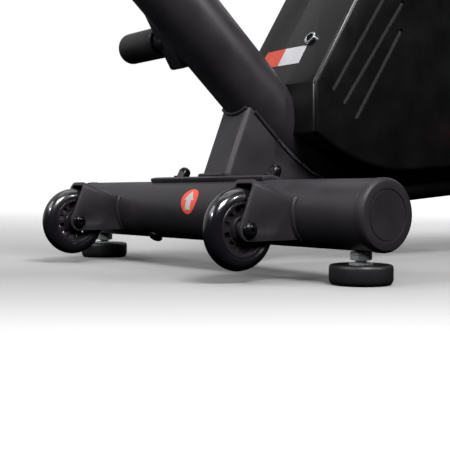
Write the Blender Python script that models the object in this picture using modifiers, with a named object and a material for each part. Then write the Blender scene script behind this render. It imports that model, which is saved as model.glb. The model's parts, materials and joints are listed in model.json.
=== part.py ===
"""Upright magnetic exercise bike, modelled piece by piece.

Metres, +Z up, +X towards the front of the bike, +Y to the rider's left.
The origin is on the floor, below the middle of the bike's outer size.
Places are given from the front stabiliser's axis, which lies at FRONT_X.
"""
import math

import bmesh
import bpy
from mathutils import Vector

# Overall layout, measured from the front stabiliser's axis
FRONT_X = 0.40443
REAR_BASE_X = -0.930
GAP = 0.0003

# Stabilisers, their caps, feet and lock nuts
BASE_RADIUS = 0.035
BASE_WALL = 0.0025
BASE_HEIGHT = 0.0672
BASE_HALF = 0.2808
CAP_RADIUS = 0.0356
CAP_THICKNESS = 0.0097
CAP_PLUG = 0.012
FOOT_Y = 0.2461
FOOT_RADIUS = 0.031
FOOT_HEIGHT = 0.0198
STUD_RADIUS = 0.006
NUT_FLATS = 0.019
NUT_HEIGHT = 0.0085

# Transport wheels
WHEEL_X = 0.0896
WHEEL_Y = 0.1688
WHEEL_Z = 0.0525
WHEEL_RADIUS = 0.0405
TYRE_HALF = 0.011
HUB_RADIUS = 0.0275
HUB_WINDOWS = 12
HUB_WINDOW_OUT = 0.0190
HUB_WINDOW = (0.0060, 0.030, 0.0078)
AXLE_HEAD_RADIUS = 0.0085
FORK_HALF = 0.0175
FORK_SHEET = 0.004
AXLE_RADIUS = 0.004

# Saddle plate and its fixing bolts, on lines through the stabiliser's axis
PLATE_THICKNESS = 0.005
PLATE_HALF = 0.110
PLATE_FRONT_ANGLE = 17.0
PLATE_REAR_ANGLE = 76.0
BOLT_Y = 0.088
BOLT_LEAN = 29.0
BOLT_RADIUS = 0.0045

# Pedestals
PEDESTAL_HALF = 0.025
PEDESTAL_LEAN = 22.0
PEDESTAL_EDGE = 0.006

# Main tube: front arm, bend and low rear run
TUBE_RADIUS = 0.038
TUBE_WALL = 0.003
TUBE_HEAD = (0.0766, 0.3324)
TUBE_CORNER = (-0.181, 0.103)
TUBE_TAIL = (-0.950, 0.1623)
TUBE_BEND = 0.250

# Mast, the sleeve that holds it in the main tube's mouth, and the knob's boss
SLEEVE_LENGTH = 0.112
SLEEVE_COLLAR = 0.012
MAST_RADIUS = 0.028
MAST_START = 0.005
MAST_WALL = 0.002
MAST_BEND = 0.128
MAST_TOP_LEAN = -12.0
MAST_TOP_LENGTH = 0.600
KNOB_PLACE = (0.0362, -0.026, 0.2656)
BOSS_OUTLINE = ((0.0262, 0.2324), (0.0700, 0.3052), (0.0300, 0.3172), (-0.0120, 0.2440))
BOSS_SIDES = (-0.0437, -0.0180)
MAST_KNOB_STEM = 0.018
MAST_KNOB_LENGTH = 0.094

# Handlebar and console
BAR_RADIUS = 0.014
GRIP_RADIUS = 0.0175
CLAMP_RADIUS = 0.024
CLAMP_HALF = 0.032
BAR_CORNERS = ((0.0, 0.010, 0.0), (0.0, 0.075, 0.0), (-0.050, 0.205, 0.018), (-0.270, 0.205, -0.012))
BAR_BENDS = (0.045, 0.050)
GRIP_LENGTH = 0.130
NECK_REACH = (0.055, 0.0, 0.062)
CONSOLE_SIZE = (0.130, 0.190, 0.028)
CONSOLE_LEAN = 38.0
CONSOLE_OFFSET = (-0.010, 0.0, 0.047)
DIAL_OFFSET = 0.043

# Drive
FLYWHEEL_X = -0.325
FLYWHEEL_Z = 0.300
FLYWHEEL_RADIUS = 0.125
CRANK_X = -0.490
CRANK_Z = 0.335
CRANK_LENGTH = 0.170
PULLEY_RADIUS = 0.105
SMALL_PULLEY_RADIUS = 0.022
BELT_Y = 0.046
BELT_HALF = 0.006
BELT_THICKNESS = 0.002
AXLE_SHAFT = 0.0085
CRANK_INNER = 0.0785
CRANK_THICKNESS = 0.012
CRANK_EYE = 0.0075
PEDAL_SIZE = (0.094, 0.092, 0.026)
PEDAL_STEP = 0.009
PEDAL_PIN = 0.0070

# Housing
SHELL_HALF = 0.074
SHELL_WALL = 0.003
SHELL_SEAM_Y = -0.017
SHELL_EDGE = 0.006
AXLE_HOLE_RADIUS = 0.0125
SHELL_FRONT = (-0.098, 0.219)
SHELL_LEAN = 32.25
SHELL_FRONT_ROUND = 0.1488
SHELL_REAR_ROUND = 0.125
SHELL_EDGE_CENTRE = (-0.251, 0.398)
SHELL_EDGE_ROUND = 0.283
SHELL_TAIL = (-0.585, 0.137)
JACK_Y = 0.028
JACK_Z = 0.2765

# Seat
SEAT_BASE = (-0.620, 0.137)
SEAT_LEAN = -17.0
SEAT_TUBE_RADIUS = 0.030
SEAT_TUBE_LENGTH = 0.400
POST_RADIUS = 0.023
POST_START = 0.180
POST_END = 0.630
POST_WALL = 0.002
POST_TOP = 0.012
HEAD_BLOCK = (0.060, 0.036, 0.022)
SLIDER_LENGTH = 0.200
SLIDER_WALL = 0.004
SADDLE_LENGTH = 0.270
SADDLE_WIDTH = 0.210
SADDLE_NOSE = 0.060
SADDLE_THICKNESS = 0.055

ROUND = 24
SMALL_ROUND = 16

PARTS = None
CUTTERS = None
MATERIALS = {}


def clear_scene():
    """Take every object out of the scene and start two collections."""
    global PARTS, CUTTERS
    for item in list(bpy.data.objects):
        bpy.data.objects.remove(item, do_unlink=True)
    PARTS = bpy.data.collections.new("exercise_bike")
    CUTTERS = bpy.data.collections.new("cutters")
    for group in (PARTS, CUTTERS):
        bpy.context.scene.collection.children.link(group)


def spot(x, y, z):
    """A point measured from the front stabiliser's axis."""
    return Vector((FRONT_X + x, y, z))


def heading(lean):
    """The unit direction that leans forward from vertical by so many degrees."""
    angle = math.radians(lean)
    return Vector((math.sin(angle), 0.0, math.cos(angle)))


def material(name, colour, roughness, metallic):
    """One Principled material, made once for each name."""
    if name not in MATERIALS:
        new = bpy.data.materials.new(name)
        new.use_nodes = True
        shader = new.node_tree.nodes["Principled BSDF"]
        shader.inputs["Base Color"].default_value = (*colour, 1.0)
        shader.inputs["Roughness"].default_value = roughness
        shader.inputs["Metallic"].default_value = metallic
        new.diffuse_color = (*colour, 1.0)
        MATERIALS[name] = new
    return MATERIALS[name]


def powder():
    """Satin black powder coat on steel."""
    return material("black_powder_coat", (0.020, 0.019, 0.021), 0.42, 0.0)


def plastic():
    """Matt black moulded plastic."""
    return material("black_plastic", (0.026, 0.025, 0.028), 0.55, 0.0)


def gloss():
    """Glossy black housing plastic."""
    return material("gloss_black_plastic", (0.010, 0.010, 0.011), 0.25, 0.0)


def rubber():
    """Black rubber."""
    return material("black_rubber", (0.018, 0.018, 0.018), 0.60, 0.0)


def tyre_black():
    """Glossy black polyurethane."""
    return material("gloss_polyurethane", (0.008, 0.008, 0.008), 0.12, 0.0)


def zinc():
    """Bright zinc plated steel."""
    return material("zinc_steel", (0.62, 0.62, 0.60), 0.30, 1.0)


def black_steel():
    """Blackened bolt steel."""
    return material("black_steel", (0.015, 0.015, 0.016), 0.25, 0.6)


def cast_iron():
    """Dark grey cast iron."""
    return material("cast_iron", (0.09, 0.09, 0.09), 0.50, 0.9)


def leather():
    """Black saddle cover."""
    return material("saddle_vinyl", (0.020, 0.020, 0.020), 0.50, 0.0)


def foam():
    """Soft black grip foam."""
    return material("grip_foam", (0.022, 0.022, 0.023), 0.80, 0.0)


def add_part(item, look):
    """Put a finished piece in the bike's collection with its material."""
    item.data.materials.clear()
    item.data.materials.append(look)
    if item.name not in PARTS.objects:
        PARTS.objects.link(item)
    if item.type == "MESH":
        item.data.shade_smooth()
        item.data.set_sharp_from_angle(angle=math.radians(35.0))
    return item


def add_cutter(item):
    """Keep a cutting or joining shape out of sight in its own collection."""
    if item.name not in CUTTERS.objects:
        CUTTERS.objects.link(item)
    item.hide_render = True
    item.display_type = "WIRE"
    return item


def combine(item, other, operation):
    """Cut a shape from a piece, or join it on."""
    step = item.modifiers.new(operation.lower(), "BOOLEAN")
    step.operation = operation
    step.solver = "EXACT"
    step.object = add_cutter(other)
    return item


def round_edges(item, width, segments=2, angle=35.0):
    """Round the sharp edges of a piece."""
    step = item.modifiers.new("edges", "BEVEL")
    step.width = width
    step.segments = segments
    step.limit_method = "ANGLE"
    step.angle_limit = math.radians(angle)
    return item


def from_bmesh(name, shape, centre=None, direction=None):
    """An object from a bmesh, turned so that its Z axis follows a direction."""
    mesh = bpy.data.meshes.new(name)
    shape.to_mesh(mesh)
    shape.free()
    item = bpy.data.objects.new(name, mesh)
    if centre is not None:
        item.location = centre
    if direction is not None:
        item.rotation_mode = "QUATERNION"
        item.rotation_quaternion = direction.to_track_quat("Z", "Y")
    return item


def cylinder(name, start, end, radius, sides=SMALL_ROUND):
    """A closed cylinder between two points."""
    shape = bmesh.new()
    run = end - start
    bmesh.ops.create_cone(
        shape, cap_ends=True, segments=sides, radius1=radius, radius2=radius, depth=run.length
    )
    return from_bmesh(name, shape, (start + end) / 2.0, run)


def block(name, centre, size, direction=None):
    """A closed box."""
    shape = bmesh.new()
    bmesh.ops.create_cube(shape, size=1.0)
    bmesh.ops.scale(shape, verts=shape.verts, vec=Vector(size))
    return from_bmesh(name, shape, centre, direction)


def turned(name, profile, base, direction, steps=ROUND, ring=False):
    """A turned piece: (radius, height) points run down its outer side."""
    mesh = bpy.data.meshes.new(name)
    points = [(radius, 0.0, height) for radius, height in profile]
    lines = [(i, i + 1) for i in range(len(points) - 1)]
    if ring:
        lines.append((len(points) - 1, 0))
    mesh.from_pydata(points, lines, [])
    item = bpy.data.objects.new(name, mesh)
    item.location = base
    item.rotation_mode = "QUATERNION"
    item.rotation_quaternion = direction.to_track_quat("Z", "Y")
    step = item.modifiers.new("turn", "SCREW")
    step.steps = steps
    step.render_steps = steps
    step.use_merge_vertices = True
    step.merge_threshold = 0.00001
    return item


def as_mesh(item):
    """Turn a curve into a welded mesh object, so that it can be cut."""
    group = bpy.context.scene.collection
    group.objects.link(item)
    bpy.context.view_layer.update()
    solved = item.evaluated_get(bpy.context.evaluated_depsgraph_get())
    mesh = bpy.data.meshes.new_from_object(solved)
    shape = bmesh.new()
    shape.from_mesh(mesh)
    bmesh.ops.remove_doubles(shape, verts=shape.verts, dist=0.00001)
    bmesh.ops.recalc_face_normals(shape, faces=shape.faces)
    shape.to_mesh(mesh)
    shape.free()
    name = item.name
    place = item.matrix_world.copy()
    bpy.data.objects.remove(item, do_unlink=True)
    result = bpy.data.objects.new(name, mesh)
    result.matrix_world = place
    return result


def rod(name, points, radius, sides=24, capped=True):
    """A round bar or tube surface along points, as a welded mesh."""
    curve = bpy.data.curves.new(name, "CURVE")
    curve.dimensions = "3D"
    curve.bevel_depth = radius
    curve.bevel_resolution = (sides - 4) // 2
    curve.use_fill_caps = capped
    line = curve.splines.new("POLY")
    line.points.add(len(points) - 1)
    for place, point in zip(line.points, points):
        place.co = (*point, 1.0)
    return as_mesh(bpy.data.objects.new(name, curve))


def prism(name, outline, low, high):
    """A flat (x, z) outline filled and extruded across the bike from low to high."""
    curve = bpy.data.curves.new(name, "CURVE")
    curve.dimensions = "2D"
    curve.fill_mode = "BOTH"
    curve.extrude = (high - low) / 2.0
    line = curve.splines.new("POLY")
    line.points.add(len(outline) - 1)
    line.use_cyclic_u = True
    for place, (x, z) in zip(line.points, outline):
        place.co = (x, z, 0.0, 1.0)
    item = bpy.data.objects.new(name, curve)
    item.location = spot(0.0, (low + high) / 2.0, 0.0)
    item.rotation_euler = (math.radians(90.0), 0.0, 0.0)
    return as_mesh(item)


def arc(centre, radius, first, last, count):
    """Points (x, z) on an arc, from one angle to another in degrees."""
    points = []
    for i in range(count):
        angle = math.radians(first + (last - first) * i / (count - 1))
        points.append((centre[0] + radius * math.cos(angle), centre[1] + radius * math.sin(angle)))
    return points


def rounded_path(corners, radii, count=8):
    """A line through corners with each inner corner rounded by an arc."""
    points = [corners[0]]
    for before, corner, after, radius in zip(corners, corners[1:], corners[2:], radii):
        back = (before - corner).normalized()
        on = (after - corner).normalized()
        half = back.angle(on) / 2.0
        centre = corner + (back + on).normalized() * (radius / math.sin(half))
        first = corner + back * (radius / math.tan(half)) - centre
        last = corner + on * (radius / math.tan(half)) - centre
        sweep = first.angle(last)
        for i in range(count + 1):
            part = i / count
            near = math.sin((1.0 - part) * sweep) * first
            far = math.sin(part * sweep) * last
            points.append(centre + (near + far) / math.sin(sweep))
    points.append(corners[-1])
    return points


def side_name(sign):
    """The rider's left is +Y."""
    return "left" if sign > 0 else "right"


def main_path():
    """Centre line of the main tube."""
    head = spot(TUBE_HEAD[0], 0.0, TUBE_HEAD[1])
    corner = spot(TUBE_CORNER[0], 0.0, TUBE_CORNER[1])
    tail = spot(TUBE_TAIL[0], 0.0, TUBE_TAIL[1])
    return rounded_path([head, corner, tail], [TUBE_BEND], 7)


def main_tube_cutter(name):
    """The main tube's outside with a weld gap round it."""
    return rod(name, main_path(), TUBE_RADIUS + GAP, ROUND)


def base_line(x, z=BASE_HEIGHT):
    """A point in the bike's middle plane at a stabiliser's axis."""
    return spot(x, 0.0, z)


def across(x, z, low, high):
    """Start and end of a straight line across the bike."""
    return spot(x, low, z), spot(x, high, z)


def fixing_line(sign, distance):
    """A point on a fixing bolt's line, so far above the stabiliser's axis."""
    return base_line(0.0) + heading(-BOLT_LEAN) * distance + Vector((0.0, sign * BOLT_Y, 0.0))


def build_base_tube(name, x, fixed_by_bolts):
    """A stabiliser: an open round tube, drilled for its feet and bolts."""
    half = BASE_HALF - CAP_THICKNESS - GAP
    inner = BASE_RADIUS - BASE_WALL
    profile = [(BASE_RADIUS, half), (BASE_RADIUS, -half), (inner, -half), (inner, half)]
    tube = turned(name, profile, base_line(x), Vector((0, 1, 0)), ROUND, ring=True)
    for sign in (1, -1):
        low = spot(x, sign * FOOT_Y, 0.010)
        high = base_line(x) + Vector((0, sign * FOOT_Y, 0))
        drill = cylinder(f"{name}_stud_hole_{side_name(sign)}", low, high, STUD_RADIUS + 2 * GAP)
        combine(tube, drill, "DIFFERENCE")
        if fixed_by_bolts:
            drill = cylinder(f"{name}_bolt_hole_{side_name(sign)}", fixing_line(sign, -0.060),
                             fixing_line(sign, 0.060), BOLT_RADIUS + GAP)
            combine(tube, drill, "DIFFERENCE")
    return add_part(tube, powder())


def build_cap(name, x, sign):
    """A plastic end cap: a plug in the tube and a flat face with a ring groove."""
    flange = CAP_THICKNESS
    plug = BASE_RADIUS - BASE_WALL - GAP
    profile = [
        (0.0, flange),
        (CAP_RADIUS - 0.0020, flange),
        (CAP_RADIUS, flange - 0.0016),
        (CAP_RADIUS, 0.0),
        (plug, 0.0),
        (plug, -CAP_PLUG),
        (0.0, -CAP_PLUG),
    ]
    base = base_line(x) + Vector((0, sign * (BASE_HALF - flange), 0))
    return add_part(turned(name, profile, base, Vector((0, sign, 0))), plastic())


def build_foot(name, x, y):
    """A levelling foot: a round rubber-edged pad with its stud."""
    top = FOOT_HEIGHT
    stud_top = BASE_HEIGHT - 0.004
    profile = [
        (0.0, stud_top),
        (STUD_RADIUS, stud_top),
        (STUD_RADIUS, top + 0.0015),
        (0.012, top + 0.0015),
        (0.014, top - 0.0010),
        (FOOT_RADIUS - 0.004, top),
        (FOOT_RADIUS, top - 0.0030),
        (FOOT_RADIUS, 0.0060),
        (FOOT_RADIUS - 0.0015, 0.0016),
        (FOOT_RADIUS - 0.0035, 0.0),
        (0.0, 0.0),
    ]
    return add_part(turned(name, profile, spot(x, y, 0.0), Vector((0, 0, 1))), rubber())


def hex_nut(name, start, end, flats, bore, look):
    """A plain hexagon nut with its bore."""
    nut = cylinder(name, start, end, flats / math.sqrt(3.0), 6)
    run = (end - start).normalized() * 0.002
    combine(nut, cylinder(f"{name}_bore", start - run, end + run, bore), "DIFFERENCE")
    return add_part(nut, look)


def build_feet(label, x):
    """The two feet of a stabiliser with their lock nuts."""
    nut_top = BASE_HEIGHT - BASE_RADIUS - GAP
    for sign in (1, -1):
        name = f"{label}_{side_name(sign)}"
        build_foot(f"{name}_foot", x, sign * FOOT_Y)
        low = spot(x, sign * FOOT_Y, nut_top - NUT_HEIGHT)
        high = spot(x, sign * FOOT_Y, nut_top)
        hex_nut(f"{name}_lock_nut", low, high, NUT_FLATS, STUD_RADIUS + 2 * GAP, zinc())


def fork_outline(drop=0.0):
    """Side outline of a wheel fork, its top lowered by drop."""
    points = [(0.018, 0.0800 - drop), (0.0805, 0.1015 - drop)]
    if drop:
        return points + [(0.130, 0.1015 - drop), (0.130, 0.020), (0.018, 0.020)]
    return points + arc((WHEEL_X, WHEEL_Z), 0.0112, 25.0, -90.0, 7) + [(0.018, 0.0415)]


def build_wheel(sign):
    """One transport wheel: fork, tyre, spoked hub and axle bolt."""
    name = side_name(sign)
    middle = sign * WHEEL_Y
    fork = prism(f"{name}_wheel_fork", fork_outline(), middle - FORK_HALF, middle + FORK_HALF)
    round_edges(fork, 0.0012, 1)
    inner = FORK_HALF - FORK_SHEET
    inside = prism(f"{name}_fork_inside", fork_outline(FORK_SHEET), middle - inner, middle + inner)
    combine(fork, inside, "DIFFERENCE")
    tube_space = cylinder(f"{name}_fork_tube_space", *across(0.0, BASE_HEIGHT, middle - 0.05, middle + 0.05),
                          BASE_RADIUS + GAP, 2 * ROUND)
    combine(fork, tube_space, "DIFFERENCE")
    drill = cylinder(f"{name}_fork_drill", *across(WHEEL_X, WHEEL_Z, middle - 0.03, middle + 0.03),
                     AXLE_RADIUS + GAP)
    combine(fork, drill, "DIFFERENCE")
    add_part(fork, powder())

    centre = spot(WHEEL_X, middle, WHEEL_Z)
    axis = Vector((0, 1, 0))
    crown = WHEEL_RADIUS - TYRE_HALF
    tread = arc((crown, 0.0), TYRE_HALF, 90.0, -90.0, 9)
    seat = HUB_RADIUS + GAP
    section = tread + [(seat, -TYRE_HALF), (seat, TYRE_HALF)]
    tyre = turned(f"{name}_wheel_tyre", section, centre, axis, 32, ring=True)
    add_part(tyre, tyre_black())

    half = TYRE_HALF - 0.001
    bore = AXLE_RADIUS + GAP
    hub = turned(f"{name}_wheel_hub", [(HUB_RADIUS, half), (HUB_RADIUS, -half), (bore, -half), (bore, half)],
                 centre, axis, 30, ring=True)
    for i in range(HUB_WINDOWS):
        angle = math.tau * (i + 0.5) / HUB_WINDOWS
        out = Vector((math.cos(angle), 0.0, math.sin(angle)))
        window = block(f"{name}_hub_window_{i}", centre + out * HUB_WINDOW_OUT, HUB_WINDOW)
        window.rotation_mode = "XYZ"
        window.rotation_euler = (0.0, math.radians(90.0) - angle, 0.0)
        combine(hub, window, "DIFFERENCE")
    add_part(hub, plastic())

    reach = FORK_HALF + GAP
    head = AXLE_HEAD_RADIUS
    bolt = [
        (0.0, reach + 0.0052),
        (0.0045, reach + 0.0048),
        (0.0072, reach + 0.0032),
        (head, reach + 0.0008),
        (head, reach),
        (AXLE_RADIUS, reach),
        (AXLE_RADIUS, -reach),
        (head, -reach),
        (head, -reach - 0.0012),
        (0.0055, -reach - 0.0030),
        (0.0, -reach - 0.0034),
    ]
    add_part(turned(f"{name}_wheel_axle_bolt", bolt, centre, axis, SMALL_ROUND), black_steel())


def saddle_outline(x, inner, outer, front, rear, count=12):
    """Outline (x, z) of a curved plate over a stabiliser."""
    centre = (x, BASE_HEIGHT)
    return arc(centre, outer, 90.0 - front, 90.0 + rear, count) + arc(centre, inner, 90.0 + rear, 90.0 - front, count)


def build_front_fixing():
    """The saddle plate, the pedestal, and the bolts with their cap nuts."""
    inner = BASE_RADIUS + GAP
    outer = inner + PLATE_THICKNESS
    outline = saddle_outline(0.0, inner, outer, PLATE_FRONT_ANGLE, PLATE_REAR_ANGLE)
    plate = prism("front_saddle_plate", outline, -PLATE_HALF, PLATE_HALF)
    for sign in (1, -1):
        name = f"front_{side_name(sign)}"
        ends = fixing_line(sign, 0.020), fixing_line(sign, 0.060)
        drill = cylinder(f"{name}_plate_hole", *ends, BOLT_RADIUS + GAP)
        combine(plate, drill, "DIFFERENCE")
        head_seat = -(BASE_RADIUS + 0.0016)
        end = outer + 0.014
        bolt = [
            (0.0, end),
            (BOLT_RADIUS, end),
            (BOLT_RADIUS, head_seat),
            (0.0090, head_seat),
            (0.0090, head_seat - 0.0015),
            (0.0060, head_seat - 0.0052),
            (0.0, head_seat - 0.0060),
        ]
        up = heading(-BOLT_LEAN)
        add_part(turned(f"{name}_fixing_bolt", bolt, fixing_line(sign, 0.0), up, SMALL_ROUND), black_steel())
        build_cap_nut(f"{name}_cap_nut", fixing_line(sign, outer + 0.0011), up)
    add_part(plate, powder())

    lean = math.tan(math.radians(PEDESTAL_LEAN))
    rise = 0.115
    foot_x, foot_z = -0.002, 0.100
    outline = [(foot_x, foot_z), (foot_x - rise * lean, foot_z + rise), (-0.165, 0.135), (-0.165, 0.097),
               (-0.055, 0.078)]
    pedestal = prism("front_pedestal", outline, -PEDESTAL_HALF, PEDESTAL_HALF)
    round_edges(pedestal, PEDESTAL_EDGE, 3)
    combine(pedestal, main_tube_cutter("pedestal_tube_space"), "DIFFERENCE")
    seat = cylinder("pedestal_base_space", *across(0.0, BASE_HEIGHT, -0.05, 0.05), outer + GAP, 2 * ROUND)
    combine(pedestal, seat, "DIFFERENCE")
    add_part(pedestal, powder())


def build_cap_nut(name, base, up):
    """A domed cap nut on its washer, hollow for the bolt's end."""
    nut = cylinder(name, base, base + up * 0.0090, 0.0085, 6)
    washer = turned(f"{name}_washer", [(0.0, 0.0018), (0.0105, 0.0018), (0.0105, 0.0), (0.0, 0.0)], base, up)
    dome = [(0.0, 0.0178), (0.0035, 0.0172), (0.0060, 0.0152), (0.0074, 0.0120), (0.0076, 0.0060), (0.0, 0.0060)]
    combine(nut, turned(f"{name}_dome", dome, base, up, SMALL_ROUND), "UNION")
    combine(nut, washer, "UNION")
    combine(nut, cylinder(f"{name}_bore", base - up * 0.002, base + up * 0.0140, BOLT_RADIUS + GAP), "DIFFERENCE")
    return add_part(nut, black_steel())


def build_rear_pedestal():
    """The short pedestal between the main tube and the rear stabiliser."""
    x = REAR_BASE_X
    inner = BASE_RADIUS + GAP
    body = prism("rear_pedestal", [(x - 0.030, 0.085), (x - 0.030, 0.165), (x + 0.055, 0.165), (x + 0.040, 0.085)],
                 -0.030, 0.030)
    round_edges(body, PEDESTAL_EDGE, 2)
    plate = prism("rear_saddle_plate", saddle_outline(x, inner + 0.0001, inner + PLATE_THICKNESS, 40.0, 40.0),
                  -0.090, 0.090)
    combine(body, plate, "UNION")
    seat = cylinder("rear_pedestal_seat", *across(x, BASE_HEIGHT, -0.10, 0.10), inner, 2 * ROUND)
    combine(body, seat, "DIFFERENCE")
    combine(body, main_tube_cutter("rear_pedestal_tube_space"), "DIFFERENCE")
    add_part(body, powder())


def build_main_tube():
    """The bent main tube: a hollow tube, closed at its tail."""
    path = main_path()
    tube = rod("main_tube", path, TUBE_RADIUS, ROUND, capped=True)
    shape = bmesh.new()
    shape.from_mesh(tube.data)
    along = (path[0] - path[1]).normalized()
    caps = [face for face in shape.faces if face.normal.dot(along) > 0.9]
    bmesh.ops.delete(shape, geom=caps, context="FACES")
    shape.to_mesh(tube.data)
    shape.free()
    wall = tube.modifiers.new("wall", "SOLIDIFY")
    wall.thickness = TUBE_WALL
    wall.offset = -1.0
    combine(tube, knob_drill("main_tube_screw_space", 0.0080), "DIFFERENCE")
    add_part(tube, powder())


def arm_direction():
    """Direction of the main tube's straight front arm, up and forward."""
    return (spot(TUBE_HEAD[0], 0.0, TUBE_HEAD[1]) - spot(TUBE_CORNER[0], 0.0, TUBE_CORNER[1])).normalized()


def sleeve_point(distance):
    """A point so far up the mast sleeve's axis from its lower end."""
    return spot(TUBE_HEAD[0], 0.0, TUBE_HEAD[1]) + arm_direction() * (distance - SLEEVE_LENGTH + SLEEVE_COLLAR)


def knob_drill(name, radius):
    """A drill along the mast knob's screw, from the middle plane outwards."""
    start = spot(KNOB_PLACE[0], 0.0, KNOB_PLACE[2])
    return cylinder(name, start, start + Vector((0, -0.06, 0)), radius)


def mast_path():
    """Centre line of the mast: out of the sleeve, round its bow and back."""
    top = sleeve_point(SLEEVE_LENGTH)
    along = arm_direction()
    low = math.degrees(math.atan2(along.x, along.z))
    centre = top + Vector((-along.z, 0.0, along.x)) * MAST_BEND
    points = [sleeve_point(MAST_START)]
    steps = 9
    for i in range(steps + 1):
        angle = math.radians(low + (MAST_TOP_LEAN - low) * i / steps)
        points.append(centre + Vector((math.cos(angle), 0.0, -math.sin(angle))) * MAST_BEND)
    points.append(points[-1] + heading(MAST_TOP_LEAN) * MAST_TOP_LENGTH)
    return points


def bar_axis():
    """The middle of the handlebar clamp."""
    return mast_path()[-1] + heading(MAST_TOP_LEAN) * (CLAMP_RADIUS + 0.014)


def build_mast():
    """The sleeve in the main tube's mouth, the mast, and the clamp knob on its boss."""
    outer = TUBE_RADIUS - TUBE_WALL - GAP
    collar = SLEEVE_LENGTH - SLEEVE_COLLAR + GAP
    profile = [
        (TUBE_RADIUS - 0.001, SLEEVE_LENGTH),
        (TUBE_RADIUS, SLEEVE_LENGTH - 0.001),
        (TUBE_RADIUS, collar),
        (outer, collar),
        (outer, 0.001),
        (outer - 0.001, 0.0),
        (MAST_RADIUS + GAP, 0.0),
        (MAST_RADIUS + GAP, SLEEVE_LENGTH),
    ]
    sleeve = turned("mast_sleeve", profile, sleeve_point(0.0), arm_direction(), ROUND, ring=True)
    combine(sleeve, knob_drill("mast_sleeve_screw_hole", 0.0075), "DIFFERENCE")
    add_part(sleeve, powder())
    mast = rod("mast", mast_path(), MAST_RADIUS, ROUND, capped=False)
    wall = mast.modifiers.new("wall", "SOLIDIFY")
    wall.thickness = MAST_WALL
    wall.offset = -1.0
    add_part(mast, powder())
    boss = prism("knob_boss", BOSS_OUTLINE, *BOSS_SIDES)
    round_edges(boss, 0.003, 2)
    combine(boss, main_tube_cutter("knob_boss_seat"), "DIFFERENCE")
    combine(boss, knob_drill("knob_boss_screw_hole", 0.0075), "DIFFERENCE")
    add_part(boss, powder())
    far = MAST_KNOB_LENGTH
    near = MAST_KNOB_STEM
    knob = [
        (0.0, far),
        (0.0100, far),
        (0.0160, far - 0.0030),
        (0.0185, far - 0.0090),
        (0.0185, near + 0.0015),
        (0.0170, near),
        (0.0070, near),
        (0.0070, 0.0),
        (0.0, 0.0),
    ]
    add_part(turned("mast_knob", knob, spot(*KNOB_PLACE), Vector((0, -1, 0)), 28), plastic())


def build_handlebar():
    """The clamp, the handlebar with its foam grips, the console and its dial."""
    centre = bar_axis()
    up = heading(MAST_TOP_LEAN)
    clamp = cylinder("handlebar_clamp", centre - Vector((0, CLAMP_HALF, 0)), centre + Vector((0, CLAMP_HALF, 0)),
                     CLAMP_RADIUS, ROUND)
    stub = cylinder("clamp_stub", mast_path()[-1] + up * GAP, centre, MAST_RADIUS - 0.004, ROUND)
    combine(clamp, stub, "UNION")
    neck_top = centre + Vector(NECK_REACH)
    neck = block("clamp_neck", (centre + neck_top) / 2.0, (0.030, 0.040, (neck_top - centre).length),
                 neck_top - centre)
    combine(clamp, neck, "UNION")
    combine(clamp, cylinder("clamp_bore", centre - Vector((0, 0.1, 0)), centre + Vector((0, 0.1, 0)),
                            BAR_RADIUS + GAP, ROUND), "DIFFERENCE")
    add_part(clamp, plastic())

    for sign, label in ((1, "left"), (-1, "right")):
        line = bar_side(sign)
        grip_start = line[-1] + (line[-2] - line[-1]).normalized() * GRIP_LENGTH
        shell = rod(f"{label}_grip", [grip_start, line[-1] + (line[-1] - line[-2]).normalized() * 0.006], GRIP_RADIUS)
        round_edges(shell, 0.003, 2)
        hole_end = line[-1] + (line[-1] - line[-2]).normalized() * GAP
        before = grip_start + (line[-2] - line[-1]).normalized() * 0.02
        combine(shell, cylinder(f"{label}_grip_bore", before, hole_end, BAR_RADIUS + GAP, 24), "DIFFERENCE")
        add_part(shell, foam())
    both = list(reversed(bar_side(-1))) + bar_side(1)
    add_part(rod("handlebar", both, BAR_RADIUS, 16), powder())

    hinge = neck_top + up * 0.020
    face = heading(-CONSOLE_LEAN)
    console_centre = hinge + Vector(CONSOLE_OFFSET)
    console = block("console", console_centre, CONSOLE_SIZE, face)
    round_edges(console, 0.008, 2)
    add_part(console, gloss())
    dial_base = console_centre + face * (CONSOLE_SIZE[2] / 2.0 + GAP) + face.cross(Vector((0, 1, 0))) * DIAL_OFFSET
    dial = [(0.0, 0.009), (0.0100, 0.009), (0.0120, 0.0075), (0.0130, 0.0), (0.0, 0.0)]
    add_part(turned("console_dial", dial, dial_base, face, 24), plastic())


def bar_side(sign):
    """One half of the handlebar's centre line, from the middle out to its end."""
    corners = [bar_axis() + Vector((x, sign * y, z)) for x, y, z in BAR_CORNERS]
    return rounded_path(corners, BAR_BENDS, 4)


def hull_tangent():
    """Angle in degrees of the housing's top line's normal, between its two rounds."""
    run = Vector((CRANK_X - FLYWHEEL_X, CRANK_Z - FLYWHEEL_Z))
    along = math.degrees(math.atan2(run.y, run.x))
    return along - math.degrees(math.acos((SHELL_FRONT_ROUND - SHELL_REAR_ROUND) / run.length))


def shell_outline(inset=0.0):
    """Side outline (x, z) of the housing, drawn in by inset."""
    tangent = hull_tangent()
    front = arc((FLYWHEEL_X, FLYWHEEL_Z), SHELL_FRONT_ROUND - inset, SHELL_LEAN, tangent, 8)
    rear = arc((CRANK_X, CRANK_Z), SHELL_REAR_ROUND - inset, tangent, 196.0, 14)
    lowest = SHELL_EDGE_ROUND - inset
    chin_x = SHELL_FRONT[0] - inset
    start = -math.degrees(math.acos((chin_x - SHELL_EDGE_CENTRE[0]) / lowest))
    edge = arc(SHELL_EDGE_CENTRE, lowest, -90.0, start, 8)
    tail = (SHELL_TAIL[0] + 1.2 * inset, SHELL_TAIL[1] + inset)
    corner = (chin_x, SHELL_FRONT[1] - 0.29 * inset)
    return front + rear + [tail] + edge + [corner]


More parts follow.
